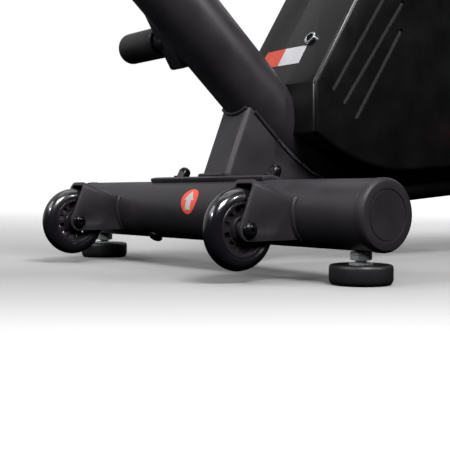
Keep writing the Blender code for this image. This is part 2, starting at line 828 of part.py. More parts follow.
def build_shells():
    """The two halves of the housing, meeting at the seam."""
    for sign in (1, -1):
        name = f"{side_name(sign)}_housing"
        low, high = sorted((SHELL_SEAM_Y + sign * GAP / 2.0, sign * SHELL_HALF))
        shell = prism(name, shell_outline(), low, high)
        soften_outer_edge(shell, sign)
        inner = sorted((SHELL_SEAM_Y - sign * 0.010, sign * (SHELL_HALF - SHELL_WALL)))
        combine(shell, prism(f"{name}_inside", shell_outline(SHELL_WALL), *inner), "DIFFERENCE")
        combine(shell, main_tube_cutter(f"{name}_tube_space"), "DIFFERENCE")
        hole = cylinder(f"{name}_axle_hole", *across(CRANK_X, CRANK_Z, sign * 0.050, sign * 0.090),
                        AXLE_HOLE_RADIUS)
        combine(shell, hole, "DIFFERENCE")
        if sign > 0:
            low, high = jack_place() - front_normal() * 0.02, jack_place() + front_normal() * 0.02
            combine(shell, cylinder("jack_hole", low, high, 0.0068), "DIFFERENCE")
        add_part(shell, gloss())


def soften_outer_edge(shell, sign):
    """Round the edge between a housing half's side face and its rim."""
    shape = bmesh.new()
    shape.from_mesh(shell.data)
    depth = max(abs(vert.co.z) for vert in shape.verts)
    outer = -sign * depth
    rim = [edge for edge in shape.edges
           if all(abs(vert.co.z - outer) < 0.00001 for vert in edge.verts)
           and abs(edge.calc_face_angle(0.0)) > 0.5]
    bmesh.ops.bevel(shape, geom=rim, offset=SHELL_EDGE, segments=2, profile=0.5, affect="EDGES")
    shape.to_mesh(shell.data)
    shape.free()


def build_jack():
    """The power jack, a metal barrel in the housing's front face."""
    top = 0.0040
    wall = SHELL_WALL
    jack = [
        (0.0, -0.0080),
        (0.0050, -0.0080),
        (0.0050, top),
        (0.0080, top),
        (0.0085, top - 0.0006),
        (0.0085, GAP),
        (0.0065, GAP),
        (0.0065, -wall - 0.0075),
        (0.0, -wall - 0.0075),
    ]
    add_part(turned("power_jack", jack, jack_place(), front_normal(), 24), zinc())


def front_normal():
    """The direction that the housing's front face looks in."""
    return heading(90.0 - SHELL_LEAN)


def jack_place():
    """The jack's middle, on the housing's front face."""
    x = SHELL_FRONT[0] - (JACK_Z - SHELL_FRONT[1]) * math.tan(math.radians(SHELL_LEAN))
    return spot(x, JACK_Y, JACK_Z)


def build_drive():
    """The bracket, flywheel, belt, pulley, crank axle, cranks and pedals."""
    outline = [(-0.295, 0.120), (-0.295, 0.300), (-0.312, 0.328), (-0.338, 0.330), (-0.470, 0.366),
               (-0.505, 0.366), (-0.525, 0.345), (-0.545, 0.125)]
    bracket = prism("drive_bracket", outline, -0.036, -0.030)
    shell = cylinder("crank_bearing_shell", *across(CRANK_X, CRANK_Z, -0.038, 0.034), 0.020, ROUND)
    combine(bracket, shell, "UNION")
    stub = cylinder("flywheel_stub", *across(FLYWHEEL_X, FLYWHEEL_Z, -0.034, 0.054), 0.0080)
    combine(bracket, stub, "UNION")
    bore = cylinder("crank_bearing_bore", *across(CRANK_X, CRANK_Z, -0.060, 0.060), AXLE_SHAFT + 2 * GAP, ROUND)
    combine(bracket, bore, "DIFFERENCE")
    combine(bracket, main_tube_cutter("bracket_tube_space"), "DIFFERENCE")
    add_part(bracket, powder())

    axis = Vector((0, 1, 0))
    bore = 0.0080 + GAP
    web = 0.006
    rim = FLYWHEEL_RADIUS
    groove = SMALL_PULLEY_RADIUS
    flywheel = [
        (bore, BELT_Y + BELT_HALF + 0.001),
        (groove, BELT_Y + BELT_HALF + 0.001),
        (groove, BELT_Y - BELT_HALF - 0.001),
        (0.018, BELT_Y - BELT_HALF - 0.001),
        (0.018, web),
        (0.100, web),
        (0.103, 0.012),
        (rim, 0.012),
        (rim, -0.012),
        (0.103, -0.012),
        (0.100, -web),
        (0.020, -web),
        (0.020, -0.022),
        (bore, -0.022),
    ]
    wheel = turned("flywheel", flywheel, spot(FLYWHEEL_X, 0.0, FLYWHEEL_Z), axis, 28, ring=True)
    add_part(wheel, cast_iron())

    axle_hole = AXLE_SHAFT + GAP
    half = BELT_HALF + 0.001
    pulley = [
        (PULLEY_RADIUS, half),
        (PULLEY_RADIUS, -half),
        (PULLEY_RADIUS - 0.007, -half),
        (PULLEY_RADIUS - 0.007, -0.003),
        (0.022, -0.003),
        (0.020, -0.009),
        (axle_hole, -0.009),
        (axle_hole, half),
        (0.020, half),
        (0.022, 0.003),
        (PULLEY_RADIUS - 0.007, 0.003),
        (PULLEY_RADIUS - 0.007, half),
    ]
    place = spot(CRANK_X, BELT_Y, CRANK_Z)
    add_part(turned("drive_pulley", pulley, place, axis, 28, ring=True), plastic())
    build_belt()
    axle_half = SHELL_HALF + 0.0175
    axle = [(0.0, axle_half), (0.0075, axle_half), (AXLE_SHAFT, axle_half - 0.001), (AXLE_SHAFT, 0.0),
            (AXLE_SHAFT, -axle_half + 0.001), (0.0075, -axle_half), (0.0, -axle_half)]
    add_part(turned("crank_axle", axle, spot(CRANK_X, 0.0, CRANK_Z), axis, 24), zinc())
    for sign, turn in ((1, -90.0), (-1, 90.0)):
        build_crank(sign, turn)


def belt_outline(extra):
    """Outline of the belt's run round both pulleys, at a thickness extra."""
    run = Vector((CRANK_X - FLYWHEEL_X, CRANK_Z - FLYWHEEL_Z))
    along = math.degrees(math.atan2(run.y, run.x))
    spread = math.degrees(math.acos((SMALL_PULLEY_RADIUS - PULLEY_RADIUS) / run.length))
    small = arc((FLYWHEEL_X, FLYWHEEL_Z), SMALL_PULLEY_RADIUS + extra, along - spread,
                along - 360.0 + spread, 14)
    large = arc((CRANK_X, CRANK_Z), PULLEY_RADIUS + extra, along + spread, along - spread, 30)
    return small + large


def build_belt():
    """The flat belt round the drive pulley and the flywheel's pulley."""
    low, high = BELT_Y - BELT_HALF, BELT_Y + BELT_HALF
    outline = belt_outline(GAP + BELT_THICKNESS + 0.0008)
    belt = prism("drive_belt", outline, low, high)
    inside = prism("drive_belt_inside", belt_outline(GAP + 0.0008), low - 0.01, high + 0.01)
    combine(belt, inside, "DIFFERENCE")
    add_part(belt, rubber())


def build_crank(sign, turn):
    """A crank arm and its pedal, the arm turned from horizontal by degrees."""
    name = side_name(sign)
    angle = math.radians(turn)
    far = (CRANK_X + CRANK_LENGTH * math.cos(angle), CRANK_Z + CRANK_LENGTH * math.sin(angle))
    low, high = sorted((sign * CRANK_INNER, sign * (CRANK_INNER + CRANK_THICKNESS)))
    outline = arc((CRANK_X, CRANK_Z), 0.0175, turn + 95.0, turn + 265.0, 10)
    outline += arc(far, 0.0130, turn - 88.0, turn + 88.0, 9)
    crank = prism(f"{name}_crank", outline, low, high)
    round_edges(crank, 0.002, 2)
    hub = cylinder(f"{name}_crank_hole", *across(CRANK_X, CRANK_Z, sign * 0.06, sign * 0.12),
                   AXLE_SHAFT + GAP, 24)
    combine(crank, hub, "DIFFERENCE")
    eye = cylinder(f"{name}_crank_eye", *across(far[0], far[1], sign * 0.06, sign * 0.12), CRANK_EYE)
    combine(crank, eye, "DIFFERENCE")
    add_part(crank, powder())
    inner = CRANK_INNER + CRANK_THICKNESS + PEDAL_STEP
    body = block(f"{name}_pedal", spot(far[0], sign * (inner + PEDAL_SIZE[1] / 2.0), far[1]), PEDAL_SIZE)
    round_edges(body, 0.006, 2)
    pin_ends = across(far[0], far[1], sign * (CRANK_INNER + 0.0005), sign * (inner + 0.010))
    pin = cylinder(f"{name}_pedal_pin", *pin_ends, PEDAL_PIN)
    combine(body, pin, "UNION")
    add_part(body, plastic())


def seat_point(distance):
    """A point so far up the seat tube's axis."""
    return spot(SEAT_BASE[0], 0.0, SEAT_BASE[1]) + heading(SEAT_LEAN) * distance


def build_seat():
    """The seat tube, bushing, pin, post, slider, its knob and the saddle."""
    up = heading(SEAT_LEAN)
    bore = SEAT_TUBE_RADIUS - 0.0040
    length = SEAT_TUBE_LENGTH
    tube = turned("seat_tube", [(SEAT_TUBE_RADIUS, length), (SEAT_TUBE_RADIUS, 0.0), (bore, 0.0), (bore, length)],
                  seat_point(0.0), up, ROUND, ring=True)
    combine(tube, main_tube_cutter("seat_tube_foot_space"), "DIFFERENCE")
    pin_centre = seat_point(length - 0.030)
    drill = cylinder("seat_tube_pin_hole", pin_centre, pin_centre + Vector((0, 0.05, 0)), 0.0085)
    combine(tube, drill, "DIFFERENCE")
    add_part(tube, powder())
    sleeve = POST_RADIUS + GAP
    bushing = [
        (SEAT_TUBE_RADIUS + 0.002, 0.010),
        (SEAT_TUBE_RADIUS + 0.003, 0.009),
        (SEAT_TUBE_RADIUS + 0.003, GAP),
        (bore - GAP, GAP),
        (bore - GAP, -0.018),
        (sleeve, -0.018),
        (sleeve, 0.010),
    ]
    add_part(turned("seat_bushing", bushing, seat_point(length), up, ROUND, ring=True), plastic())
    knob = [
        (0.0, 0.052),
        (0.0120, 0.052),
        (0.0160, 0.049),
        (0.0160, 0.018),
        (0.0080, 0.015),
        (0.0080, 0.0),
        (0.0, 0.0),
    ]
    knob_base = pin_centre + Vector((0, POST_RADIUS + 0.0006, 0))
    add_part(turned("seat_post_pin", knob, knob_base, Vector((0, 1, 0)), 24), plastic())

    top = seat_point(POST_END)
    post_length = POST_END - POST_START
    inside = POST_RADIUS - POST_WALL
    bored = post_length - POST_TOP
    post = turned("seat_post", [(0.0, post_length), (POST_RADIUS, post_length), (POST_RADIUS, 0.0), (inside, 0.0),
                                (inside, bored), (0.0, bored)], seat_point(POST_START), up, ROUND)
    size = HEAD_BLOCK
    head_centre = top + Vector((0, 0, size[2] / 2.0 + 0.008))
    combine(post, block("seat_post_head", head_centre, size), "UNION")
    combine(post, cylinder("seat_post_neck", top - up * 0.010, head_centre, 0.014), "UNION")
    add_part(post, zinc())

    side = size[1] / 2.0 + GAP + SLIDER_WALL
    slider = block("seat_slider", head_centre + Vector((0.010, 0, SLIDER_WALL / 2.0 + GAP)),
                   (SLIDER_LENGTH, 2.0 * side, size[2] + SLIDER_WALL))
    channel = block("seat_slider_channel", head_centre - Vector((0, 0, 0.010 - GAP)),
                    (SLIDER_LENGTH + 0.1, 2.0 * (side - SLIDER_WALL), size[2] + 0.020))
    combine(slider, channel, "DIFFERENCE")
    add_part(slider, powder())
    knob = [(0.0, 0.030), (0.011, 0.030), (0.014, 0.026), (0.014, 0.008), (0.007, 0.006), (0.007, 0.0), (0.0, 0.0)]
    base = head_centre + Vector((0.010, side + GAP, 0))
    add_part(turned("seat_slider_knob", knob, base, Vector((0, 1, 0)), 24), plastic())
    build_saddle(head_centre + Vector((0.010, 0, size[2] / 2.0 + SLIDER_WALL + 2 * GAP)))


def build_saddle(base):
    """The padded saddle: a wide rear that narrows to its nose."""
    rear = SADDLE_WIDTH / 2.0
    nose = SADDLE_NOSE / 2.0
    half = SADDLE_LENGTH / 2.0
    wide = [(-half + rear * 0.62 - rear * 0.62 * math.cos(math.radians(a)), rear * math.sin(math.radians(a)))
            for a in range(0, 91, 15)]
    tip = [(half - nose + nose * math.sin(math.radians(a)), nose * math.cos(math.radians(a))) for a in range(0, 91, 30)]
    waist = [(0.035, nose * 1.55)]
    upper = wide + waist + tip
    outline = upper + [(x, -y) for x, y in reversed(upper[1:-1])]
    curve = bpy.data.curves.new("saddle", "CURVE")
    curve.dimensions = "2D"
    curve.fill_mode = "BOTH"
    curve.extrude = SADDLE_THICKNESS / 2.0
    line = curve.splines.new("POLY")
    line.points.add(len(outline) - 1)
    line.use_cyclic_u = True
    for place, (x, y) in zip(line.points, outline):
        place.co = (x, y, 0.0, 1.0)
    item = bpy.data.objects.new("saddle", curve)
    item.location = base + Vector((0, 0, SADDLE_THICKNESS / 2.0))
    saddle = as_mesh(item)
    round_edges(saddle, 0.012, 2)
    add_part(saddle, leather())


def build():
    """Build the whole bike."""
    clear_scene()
    build_base_tube("front_stabiliser_tube", 0.0, True)
    build_base_tube("rear_stabiliser_tube", REAR_BASE_X, False)
    for label, x in (("front", 0.0), ("rear", REAR_BASE_X)):
        for sign in (1, -1):
            build_cap(f"{label}_{side_name(sign)}_end_cap", x, sign)
        build_feet(label, x)
    for sign in (1, -1):
        build_wheel(sign)
    build_front_fixing()
    build_rear_pedestal()
    build_main_tube()
    build_mast()
    build_handlebar()
    build_shells()
    build_jack()
    build_drive()
    build_seat()


build()
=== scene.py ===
"""Finished look of an upright exercise bike, laid out as an add-on.

Metres, +Z up, +X towards the front of the bike, +Y to the rider's left.
Most places are given from the front stabiliser's axis, as spot(x, y, z).
"""

import json
import math

import bpy
from bpy.props import FloatProperty, FloatVectorProperty, IntProperty, PointerProperty
from mathutils import Matrix, Vector

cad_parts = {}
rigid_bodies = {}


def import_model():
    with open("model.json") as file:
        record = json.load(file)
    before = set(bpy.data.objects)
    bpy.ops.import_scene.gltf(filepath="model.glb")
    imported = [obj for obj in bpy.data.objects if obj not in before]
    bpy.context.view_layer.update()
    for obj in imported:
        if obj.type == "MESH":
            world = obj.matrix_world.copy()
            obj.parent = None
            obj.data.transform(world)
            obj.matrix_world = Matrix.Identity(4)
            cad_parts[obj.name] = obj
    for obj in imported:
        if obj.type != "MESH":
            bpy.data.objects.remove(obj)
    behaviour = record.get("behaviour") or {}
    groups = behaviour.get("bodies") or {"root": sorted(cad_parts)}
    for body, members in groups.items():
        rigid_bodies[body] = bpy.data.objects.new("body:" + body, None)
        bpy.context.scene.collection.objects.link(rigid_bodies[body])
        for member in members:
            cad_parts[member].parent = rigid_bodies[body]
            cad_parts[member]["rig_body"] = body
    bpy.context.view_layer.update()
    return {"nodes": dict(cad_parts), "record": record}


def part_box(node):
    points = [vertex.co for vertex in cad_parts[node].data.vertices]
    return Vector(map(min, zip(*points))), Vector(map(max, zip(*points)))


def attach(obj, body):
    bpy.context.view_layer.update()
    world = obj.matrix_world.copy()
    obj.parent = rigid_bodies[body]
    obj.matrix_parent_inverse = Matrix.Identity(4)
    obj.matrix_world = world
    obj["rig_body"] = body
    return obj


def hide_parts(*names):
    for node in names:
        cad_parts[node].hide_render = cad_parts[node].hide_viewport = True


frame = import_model()

bl_info = {
    "name": "Exercise bike",
    "version": (1, 0, 0),
    "blender": (4, 5, 0),
    "location": "3D View > Sidebar > Bike",
    "description": "Models and finishes an upright exercise bike on its packed frame",
    "category": "Object",
}

SLOTS = {row["node"]: row["material_slot"] for row in frame["record"]["subparts"]}
SIDES = ((1, "left"), (-1, "right"))
ACROSS = Vector((0.0, 1.0, 0.0))
UP = Vector((0.0, 0.0, 1.0))
GAP = 0.0003
SHARP = math.radians(35.0)


def middle(node):
    """Middle of a CAD node's box."""
    low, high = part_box(node)
    return (low + high) / 2.0


AXIS = middle("front_stabiliser_tube")
REAR_X = middle("rear_stabiliser_tube").x - AXIS.x
BASE_RADIUS = (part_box("front_stabiliser_tube")[1].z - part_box("front_stabiliser_tube")[0].z) / 2.0
BASE_WALL = 0.0025

# Wheel forks
FORK_SHEET = 0.004
FORK_TOP = (0.0805, 0.1015)
FORK_REAR = (0.018, 0.0800)
FORK_EYE = 0.0112
FORK_BOTTOM = 0.0413

# Frame tubes
TUBE_RADIUS = 0.038
TUBE_POINTS = ((0.0766, 0.3324), (-0.181, 0.103), (-0.950, 0.1623))
TUBE_BEND = 0.250
TUBE_WALL = 0.003
SLEEVE_LENGTH = 0.112
SLEEVE_COLLAR = 0.012
MAST_RADIUS = 0.028
MAST_START = 0.005
MAST_BEND = 0.128
MAST_TOP_LEAN = -12.0
MAST_TOP_LENGTH = 0.600
KNOB_PLACE = (0.0362, -0.026, 0.2656)
BOSS_OUTLINE = ((0.0262, 0.2324), (0.0700, 0.3052), (0.0300, 0.3172), (-0.0120, 0.2440))
BOSS_SIDES = (-0.0437, -0.0180)
PEDESTAL_LEAN = 22.0
PEDESTAL_HALF = 0.025

# Handlebar
BAR_RADIUS = 0.014
CLAMP_RADIUS = 0.024
BAR_CORNERS = ((0.0, 0.010, 0.0), (0.0, 0.075, 0.0), (-0.050, 0.205, 0.018), (-0.270, 0.205, -0.012))
BAR_BENDS = (0.045, 0.050)
CONSOLE_LEAN = 38.0

# Seat
SEAT_BASE = (-0.620, 0.137)
SEAT_LEAN = -17.0
SEAT_TUBE_RADIUS = 0.030
SEAT_TUBE_LENGTH = 0.400
POST_RADIUS = 0.023
POST_START = 0.180
POST_END = 0.630

# Drive and housing
FLYWHEEL = (-0.325, 0.300)
CRANK = (-0.490, 0.335)
CRANK_LENGTH = 0.170
CRANK_INNER = 0.0785
CRANK_THICKNESS = 0.012
SHELL_HALF = 0.074
SHELL_SEAM_Y = -0.017
SHELL_WALL = 0.0062
SHELL_FRONT = (-0.098, 0.219)
SHELL_LEAN = 32.25
SHELL_FRONT_ROUND = 0.1488
SHELL_REAR_ROUND = 0.125
SHELL_EDGE_CENTRE = (-0.251, 0.398)
SHELL_EDGE_ROUND = 0.283
SHELL_TAIL = (-0.585, 0.137)
GROOVES = (
    ((-0.129, 0.212), (-0.246, 0.374)),
    ((-0.147, 0.197), (-0.247, 0.327)),
    ((-0.167, 0.180), (-0.2445, 0.2915)),
)


# ---------------------------------------------------------------- settings


def length(name, description, default):
    """A length that a user can change."""
    return FloatProperty(name=name, description=description, default=default, min=0.0, unit="LENGTH", precision=4)


def colour(name, description, default):
    """A colour that a user can change."""
    return FloatVectorProperty(name=name, description=description, default=default, subtype="COLOR", size=3,
                               min=0.0, max=1.0)


class BikeSizes(bpy.types.PropertyGroup):
    """Sizes of the fine shapes."""

    round_sides: IntProperty(name="Round sides", description="Sides on a large round piece", default=96, min=24)
    sheet_edge: length("Sheet edge", "Rounding of cut steel edges", 0.0006)
    weld_radius: length("Weld radius", "Half the width of a weld bead", 0.0021)
    groove_width: length("Groove width", "Width of the grooves in the housing", 0.0056)
    groove_depth: length("Groove depth", "Depth of the grooves in the housing", 0.0042)
    cap_groove: length("Cap groove", "Radius of the ring groove in an end cap", 0.0243)
    saddle_swell: length("Saddle swell", "How far the saddle's padding may push out", 0.0060)


class BikeColours(bpy.types.PropertyGroup):
    """Colours of the finishes."""

    powder: colour("Powder coat", "Satin powder coat on the frame", (0.029, 0.026, 0.031))
    plastic: colour("Plastic", "Moulded black plastic", (0.016, 0.013, 0.016))
    gloss: colour("Housing", "Smooth housing plastic", (0.0035, 0.0035, 0.0040))
    rubber: colour("Rubber", "Black rubber", (0.014, 0.014, 0.016))
    tyre: colour("Tyre", "Glossy cast tyre", (0.009, 0.008, 0.011))
    zinc: colour("Zinc", "Bright zinc plating", (0.62, 0.64, 0.66))
    chrome: colour("Chrome", "Chromed seat post", (0.70, 0.70, 0.71))
    iron: colour("Iron", "Cast flywheel iron", (0.085, 0.082, 0.080))
    vinyl: colour("Vinyl", "Saddle cover", (0.018, 0.018, 0.020))
    foam: colour("Foam", "Grip foam", (0.020, 0.020, 0.021))
    warning: colour("Red", "Red of the blank label", (0.62, 0.075, 0.040))
    arrow: colour("Arrow red", "Red of the arrow mark", (0.95, 0.105, 0.060))
    paper: colour("White", "White of the arrow mark and the blank label", (0.60, 0.60, 0.63))
    screen: colour("Screen", "Lit ground of the display", (0.16, 0.21, 0.17))
    floor: colour("Floor", "Studio floor", (0.86, 0.86, 0.86))


def sizes():
    """The size settings in use."""
    return bpy.context.scene.bike_sizes


def colours():
    """The colour settings in use."""
    return bpy.context.scene.bike_colours


# ---------------------------------------------------------------- places


def spot(x, y, z):
    """A point measured from the front stabiliser's axis."""
    return Vector((AXIS.x + x, y, z))


def heading(lean):
    """Unit direction that leans forward from vertical by so many degrees."""
    angle = math.radians(lean)
    return Vector((math.sin(angle), 0.0, math.cos(angle)))


def arc(centre, radius, first, last, count):
    """Points (x, z) on an arc, from one angle to another in degrees."""
    turns = [math.radians(first + (last - first) * i / (count - 1)) for i in range(count)]
    return [(centre[0] + radius * math.cos(a), centre[1] + radius * math.sin(a)) for a in turns]


def rounded_path(corners, radii, count=12):
    """A line through corners with each inner corner rounded."""
    points = [corners[0]]
    for before, corner, after, radius in zip(corners, corners[1:], corners[2:], radii):
        back = (before - corner).normalized()
        on = (after - corner).normalized()
        half = back.angle(on) / 2.0
        centre = corner + (back + on).normalized() * (radius / math.sin(half))
        first = corner + back * (radius / math.tan(half)) - centre
        last = corner + on * (radius / math.tan(half)) - centre
        for i in range(count + 1):
            points.append(centre + first.slerp(last, i / count) * radius)
    return points + [corners[-1]]


def main_path(offset=0.0, count=24):
    """Line of the main tube, or a line so far below it."""
    corners = [spot(x, 0.0, z) for x, z in TUBE_POINTS]
    points = rounded_path(corners, [TUBE_BEND], count)
    if not offset:
        return points
    moved = []
    for i, point in enumerate(points):
        run = (points[min(i + 1, len(points) - 1)] - points[max(i - 1, 0)]).normalized()
        moved.append(point + run.cross(ACROSS) * offset)
    return moved


def arm_direction():
    """Direction of the main tube's straight front arm, up and forward."""
    head, corner = (spot(x, 0.0, z) for x, z in TUBE_POINTS[:2])
    return (head - corner).normalized()


def sleeve_point(distance):
    """A point so far up the mast sleeve's axis from its lower end."""
    x, z = TUBE_POINTS[0]
    return spot(x, 0.0, z) + arm_direction() * (distance - SLEEVE_LENGTH + SLEEVE_COLLAR)


def mast_path(count=20):
    """Line of the mast: out of the sleeve, round its bow and back."""
    along = arm_direction()
    low = math.degrees(math.atan2(along.x, along.z))
    centre = sleeve_point(SLEEVE_LENGTH) + Vector((-along.z, 0.0, along.x)) * MAST_BEND
    points = [sleeve_point(MAST_START)]
    for i in range(count + 1):
        angle = math.radians(low + (MAST_TOP_LEAN - low) * i / count)
        points.append(centre + Vector((math.cos(angle), 0.0, -math.sin(angle))) * MAST_BEND)
    return points + [points[-1] + heading(MAST_TOP_LEAN) * MAST_TOP_LENGTH]


def bar_axis():
    """Middle of the handlebar clamp."""
    return mast_path()[-1] + heading(MAST_TOP_LEAN) * (CLAMP_RADIUS + 0.014)


def seat_point(distance):
    """A point so far up the seat tube."""
    return spot(SEAT_BASE[0], 0.0, SEAT_BASE[1]) + heading(SEAT_LEAN) * distance


def front_normal():
    """Direction that the housing's front face looks in."""
    return heading(90.0 - SHELL_LEAN)


def front_point(y, slope):
    """A point on the housing's front face, so far up its slope."""
    return spot(SHELL_FRONT[0], y, SHELL_FRONT[1]) + heading(-SHELL_LEAN) * slope


# ---------------------------------------------------------------- modelling


def pick_nothing():
    """Leave edit mode with nothing selected."""
    if bpy.context.mode != "OBJECT":
        bpy.ops.object.mode_set(mode="OBJECT")
    bpy.ops.object.select_all(action="DESELECT")


def pick(item):
    """Select one piece and make it active."""
    pick_nothing()
    item.select_set(True)
    bpy.context.view_layer.objects.active = item
    return item


def named(name):
    """Name the piece just added."""
    item = bpy.context.view_layer.objects.active
    item.name = item.data.name = name
    return item


def piece_name(node):
    """A node's own words as one name."""
    return "".join(word.title() for word in node.split("_"))


def apply_place(item):
    """Put a piece's place into its mesh."""
    pick(item)
    bpy.ops.object.transform_apply(location=True, rotation=True, scale=True)
    return item


def aim(item, base, direction):
    """Turn a piece's Z axis to a direction, move it to its base and apply both."""
    item.rotation_mode = "QUATERNION"
    item.rotation_quaternion = direction.to_track_quat("Z", "Y")
    item.location = base
    return apply_place(item)


def close_up(item):
    """Merge doubled points and turn the faces outwards."""
    pick(item)
    bpy.ops.object.mode_set(mode="EDIT")
    bpy.ops.mesh.select_all(action="SELECT")
    bpy.ops.mesh.remove_doubles(threshold=0.000005)
    bpy.ops.mesh.normals_make_consistent(inside=False)
    bpy.ops.object.mode_set(mode="OBJECT")
    return item


def lathe(name, profile, base, direction, sides=64, ring=False):
    """A turned piece: a circle is extruded and scaled from one (radius, height) to the next."""
    pick_nothing()
    radius, height = profile[0]
    fill = "NOTHING" if ring else "NGON"
    bpy.ops.mesh.primitive_circle_add(vertices=sides, radius=radius, fill_type=fill, location=(0.0, 0.0, height))
    item = apply_place(named(name))
    bpy.ops.object.mode_set(mode="EDIT")
    bpy.ops.mesh.select_mode(type="EDGE" if ring else "FACE")
    bpy.ops.mesh.select_all(action="SELECT")
    for wide, high in profile[1:] + (profile[:1] if ring else []):
        bpy.ops.mesh.extrude_region_move(TRANSFORM_OT_translate={"value": (0.0, 0.0, high - height)})
        scale = wide / radius
        bpy.ops.transform.resize(value=(scale, scale, 1.0), center_override=(0.0, 0.0, high))
        radius, height = wide, high
    return aim(close_up(item), base, direction)


def bar(name, start, end, radius, sides=32):
    """A round bar between two points."""
    pick_nothing()
    run = end - start
    bpy.ops.mesh.primitive_cylinder_add(vertices=sides, radius=radius, depth=run.length)
    return aim(named(name), (start + end) / 2.0, run)


def slab(name, centre, size, direction=UP, edge=0.0, segments=3):
    """A block whose edges are rounded."""
    pick_nothing()
    bpy.ops.mesh.primitive_cube_add(size=1.0)
    item = named(name)
    item.scale = size
    apply_place(item)
    if edge:
        soften(item, edge, segments)
    return aim(item, centre, direction)


def prism(name, outline, low, high):
    """An outline of (x, z) points, filled and extruded across the bike."""
    pick_nothing()
    bpy.ops.mesh.primitive_circle_add(vertices=len(outline), fill_type="NGON")
    item = named(name)
    for vert, (x, z) in zip(item.data.vertices, outline):
        vert.co = spot(x, low, z)
    bpy.ops.object.mode_set(mode="EDIT")
    bpy.ops.mesh.select_mode(type="FACE")
    bpy.ops.mesh.select_all(action="SELECT")
    bpy.ops.mesh.extrude_region_move(TRANSFORM_OT_translate={"value": (0.0, high - low, 0.0)})
    return close_up(item)


def sweep(name, points, radius, sides=32, closed=False, ripple=0.0):
    """A round bar along points; ripple makes it swell and narrow like a weld."""
    pick_nothing()
    bpy.ops.curve.primitive_nurbs_path_add()
    item = named(name)
    curve = item.data
    curve.splines.clear()
    line = curve.splines.new("POLY")
    line.points.add(len(points) - 1)
    line.use_cyclic_u = closed
    for i, (place, point) in enumerate(zip(line.points, points)):
        place.co = (*point, 1.0)
        place.radius = 1.0 + ripple * (i % 2)
    curve.bevel_depth = radius
    curve.bevel_resolution = (sides - 4) // 2
    curve.use_fill_caps = not closed
    bpy.ops.object.convert(target="MESH")
    return close_up(bpy.context.view_layer.objects.active)


def change(item, kind, **settings):
    """Add a modifier with its settings and apply it."""
    pick(item)
    bpy.ops.object.modifier_add(type=kind)
    step = item.modifiers[-1]
    for key, value in settings.items():
        setattr(step, key, value)
    bpy.ops.object.modifier_apply(modifier=step.name)
    return item


def cut(item, tool, operation="DIFFERENCE"):
    """Cut a tool's shape from a piece, or join or keep it, and remove the tool."""
    change(item, "BOOLEAN", operation=operation, solver="EXACT", object=tool)
    bpy.data.objects.remove(tool, do_unlink=True)
    return item


def soften(item, width, segments=2, angle=35.0):
    """Round a piece's sharp edges."""
    return change(item, "BEVEL", width=width, segments=segments, limit_method="ANGLE",
                  angle_limit=math.radians(angle), use_clamp_overlap=True)


def merged(name, items):
    """Join several pieces into one mesh."""
    pick(items[0])
    for other in items[1:]:
        other.select_set(True)
    if len(items) > 1:
        bpy.ops.object.join()
    return named(name)


def copied(item, name, moves):
    """Copies of a piece, each with its own mesh, placed by the given matrices."""
    made = []
    for i, move in enumerate(moves):
        pick(item)
        bpy.ops.object.duplicate(linked=False)
        other = named(f"{name}_{i + 1}")
        other.data.transform(move)
        made.append(other)
    return made


def shade(item):
    """Smooth shading with sharp edges kept."""
    pick(item)
    bpy.ops.object.shade_smooth_by_angle(angle=SHARP)
    return item


def settle(item, node, look=None, stands_for=True):
    """Finish a piece and let it ride with a CAD node's body; it stands for the node unless told not to."""
    shade(item)
    item.data.materials.clear()
    item.data.materials.append(finish(look or SLOTS[node]))
    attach(item, frame["nodes"][node]["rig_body"])
    if stands_for:
        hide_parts(node)
    return item


def weld(name, points, node, closed=False, thick=1.0):
    """A weld bead along points."""
    dense = []
    pairs = list(zip(points, points[1:] + points[:1])) if closed else list(zip(points, points[1:]))
    for start, end in pairs:
        steps = max(1, round((end - start).length / 0.0016))
        dense += [start.lerp(end, i / steps) for i in range(steps)]
    if not closed:
        dense.append(points[-1])
    bead = sweep(name, dense, sizes().weld_radius * thick, 12, closed, 0.14)
    return settle(bead, node, "weld_bead", stands_for=False)


# ---------------------------------------------------------------- finishes

